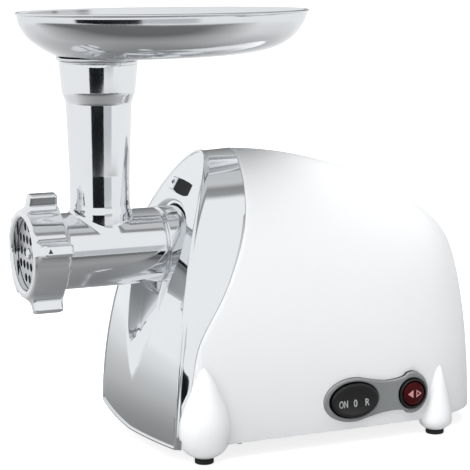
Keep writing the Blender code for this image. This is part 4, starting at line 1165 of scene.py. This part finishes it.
def background(tree, colour, strength):
    node = tree.nodes.new("ShaderNodeBackground")
    node.inputs["Color"].default_value = (*colour, 1.0)
    node.inputs["Strength"].default_value = strength
    return node


def choose(tree, factor, first, second):
    node = tree.nodes.new("ShaderNodeMixShader")
    tree.links.new(factor, node.inputs["Fac"])
    tree.links.new(first, node.inputs[1])
    tree.links.new(second, node.inputs[2])
    return node.outputs["Shader"]


def studio_world():
    """White backdrop; surfaces are lit by a room that is brighter on the left, and
    reflections find a white room with a striped grey ceiling behind and over the object."""
    world = bpy.data.worlds.new("studio")
    bpy.context.scene.world = world
    world.use_nodes = True
    tree = world.node_tree
    direction = tree.nodes.new("ShaderNodeTexCoord").outputs["Generated"]
    parts = tree.nodes.new("ShaderNodeSeparateXYZ")
    tree.links.new(direction, parts.inputs["Vector"])
    room = tree.nodes["Background"]
    room.inputs["Color"].default_value = (1.0, 1.0, 1.0, 1.0)
    tree.links.new(spread(tree, parts.outputs["X"], 0.84, 0.06, -0.9, 0.9),
                   room.inputs["Strength"])
    arc = spread(tree, along(tree, direction, AWAY), 1.0, 0.0, CEILING_END, 1.0)
    zone = tree.nodes.new("ShaderNodeMath")
    zone.operation = "MULTIPLY"
    tree.links.new(spread(tree, parts.outputs["Z"], 0.0, 1.0, 0.09, 0.13), zone.inputs[0])
    tree.links.new(spread(tree, parts.outputs["X"], 0.0, 1.0, -0.16, 0.10), zone.inputs[1])
    blend = tree.nodes.new("ShaderNodeMix")
    blend.data_type = "RGBA"
    blend.inputs["A"].default_value = (0.93, 0.94, 0.95, 1.0)
    tree.links.new(zone.outputs["Value"], blend.inputs["Factor"])
    tree.links.new(grey_ramp(tree, arc, CEILING_LEVELS), blend.inputs["B"])
    boxes = background(tree, (1.0, 1.0, 1.0), 1.0)
    tree.links.new(blend.outputs["Result"], boxes.inputs["Color"])
    backdrop = background(tree, (1.0, 1.0, 1.0), 1.15)
    path = tree.nodes.new("ShaderNodeLightPath")
    lit = choose(tree, path.outputs["Is Glossy Ray"], room.outputs["Background"],
                 boxes.outputs["Background"])
    seen = choose(tree, path.outputs["Is Camera Ray"], lit, backdrop.outputs["Background"])
    tree.links.new(seen, tree.nodes["World Output"].inputs["Surface"])


studio_world()
area_light("overhead", (-0.3, 0.1, 2.4), (0.0, 0.0, 0.1), 2.4, 122.0)
area_light("key", (-2.2, -1.6, 1.4), (0.0, 0.0, 0.15), 1.6, 10.0)
bpy.context.scene.view_settings.view_transform = "Standard"

camera_data = bpy.data.cameras.new("camera")
camera = scene_object("camera", camera_data)
camera_data.sensor_width = 36.0
camera_data.lens = 133.07
camera_data.clip_end = 50.0
TARGET = Vector((-0.01121, 0.0, 0.16221))
camera.location = TARGET + BACK.normalized() * 1.42981
camera.rotation_euler = (-BACK).to_track_quat("-Z", "Y").to_euler()
bpy.context.scene.camera = camera
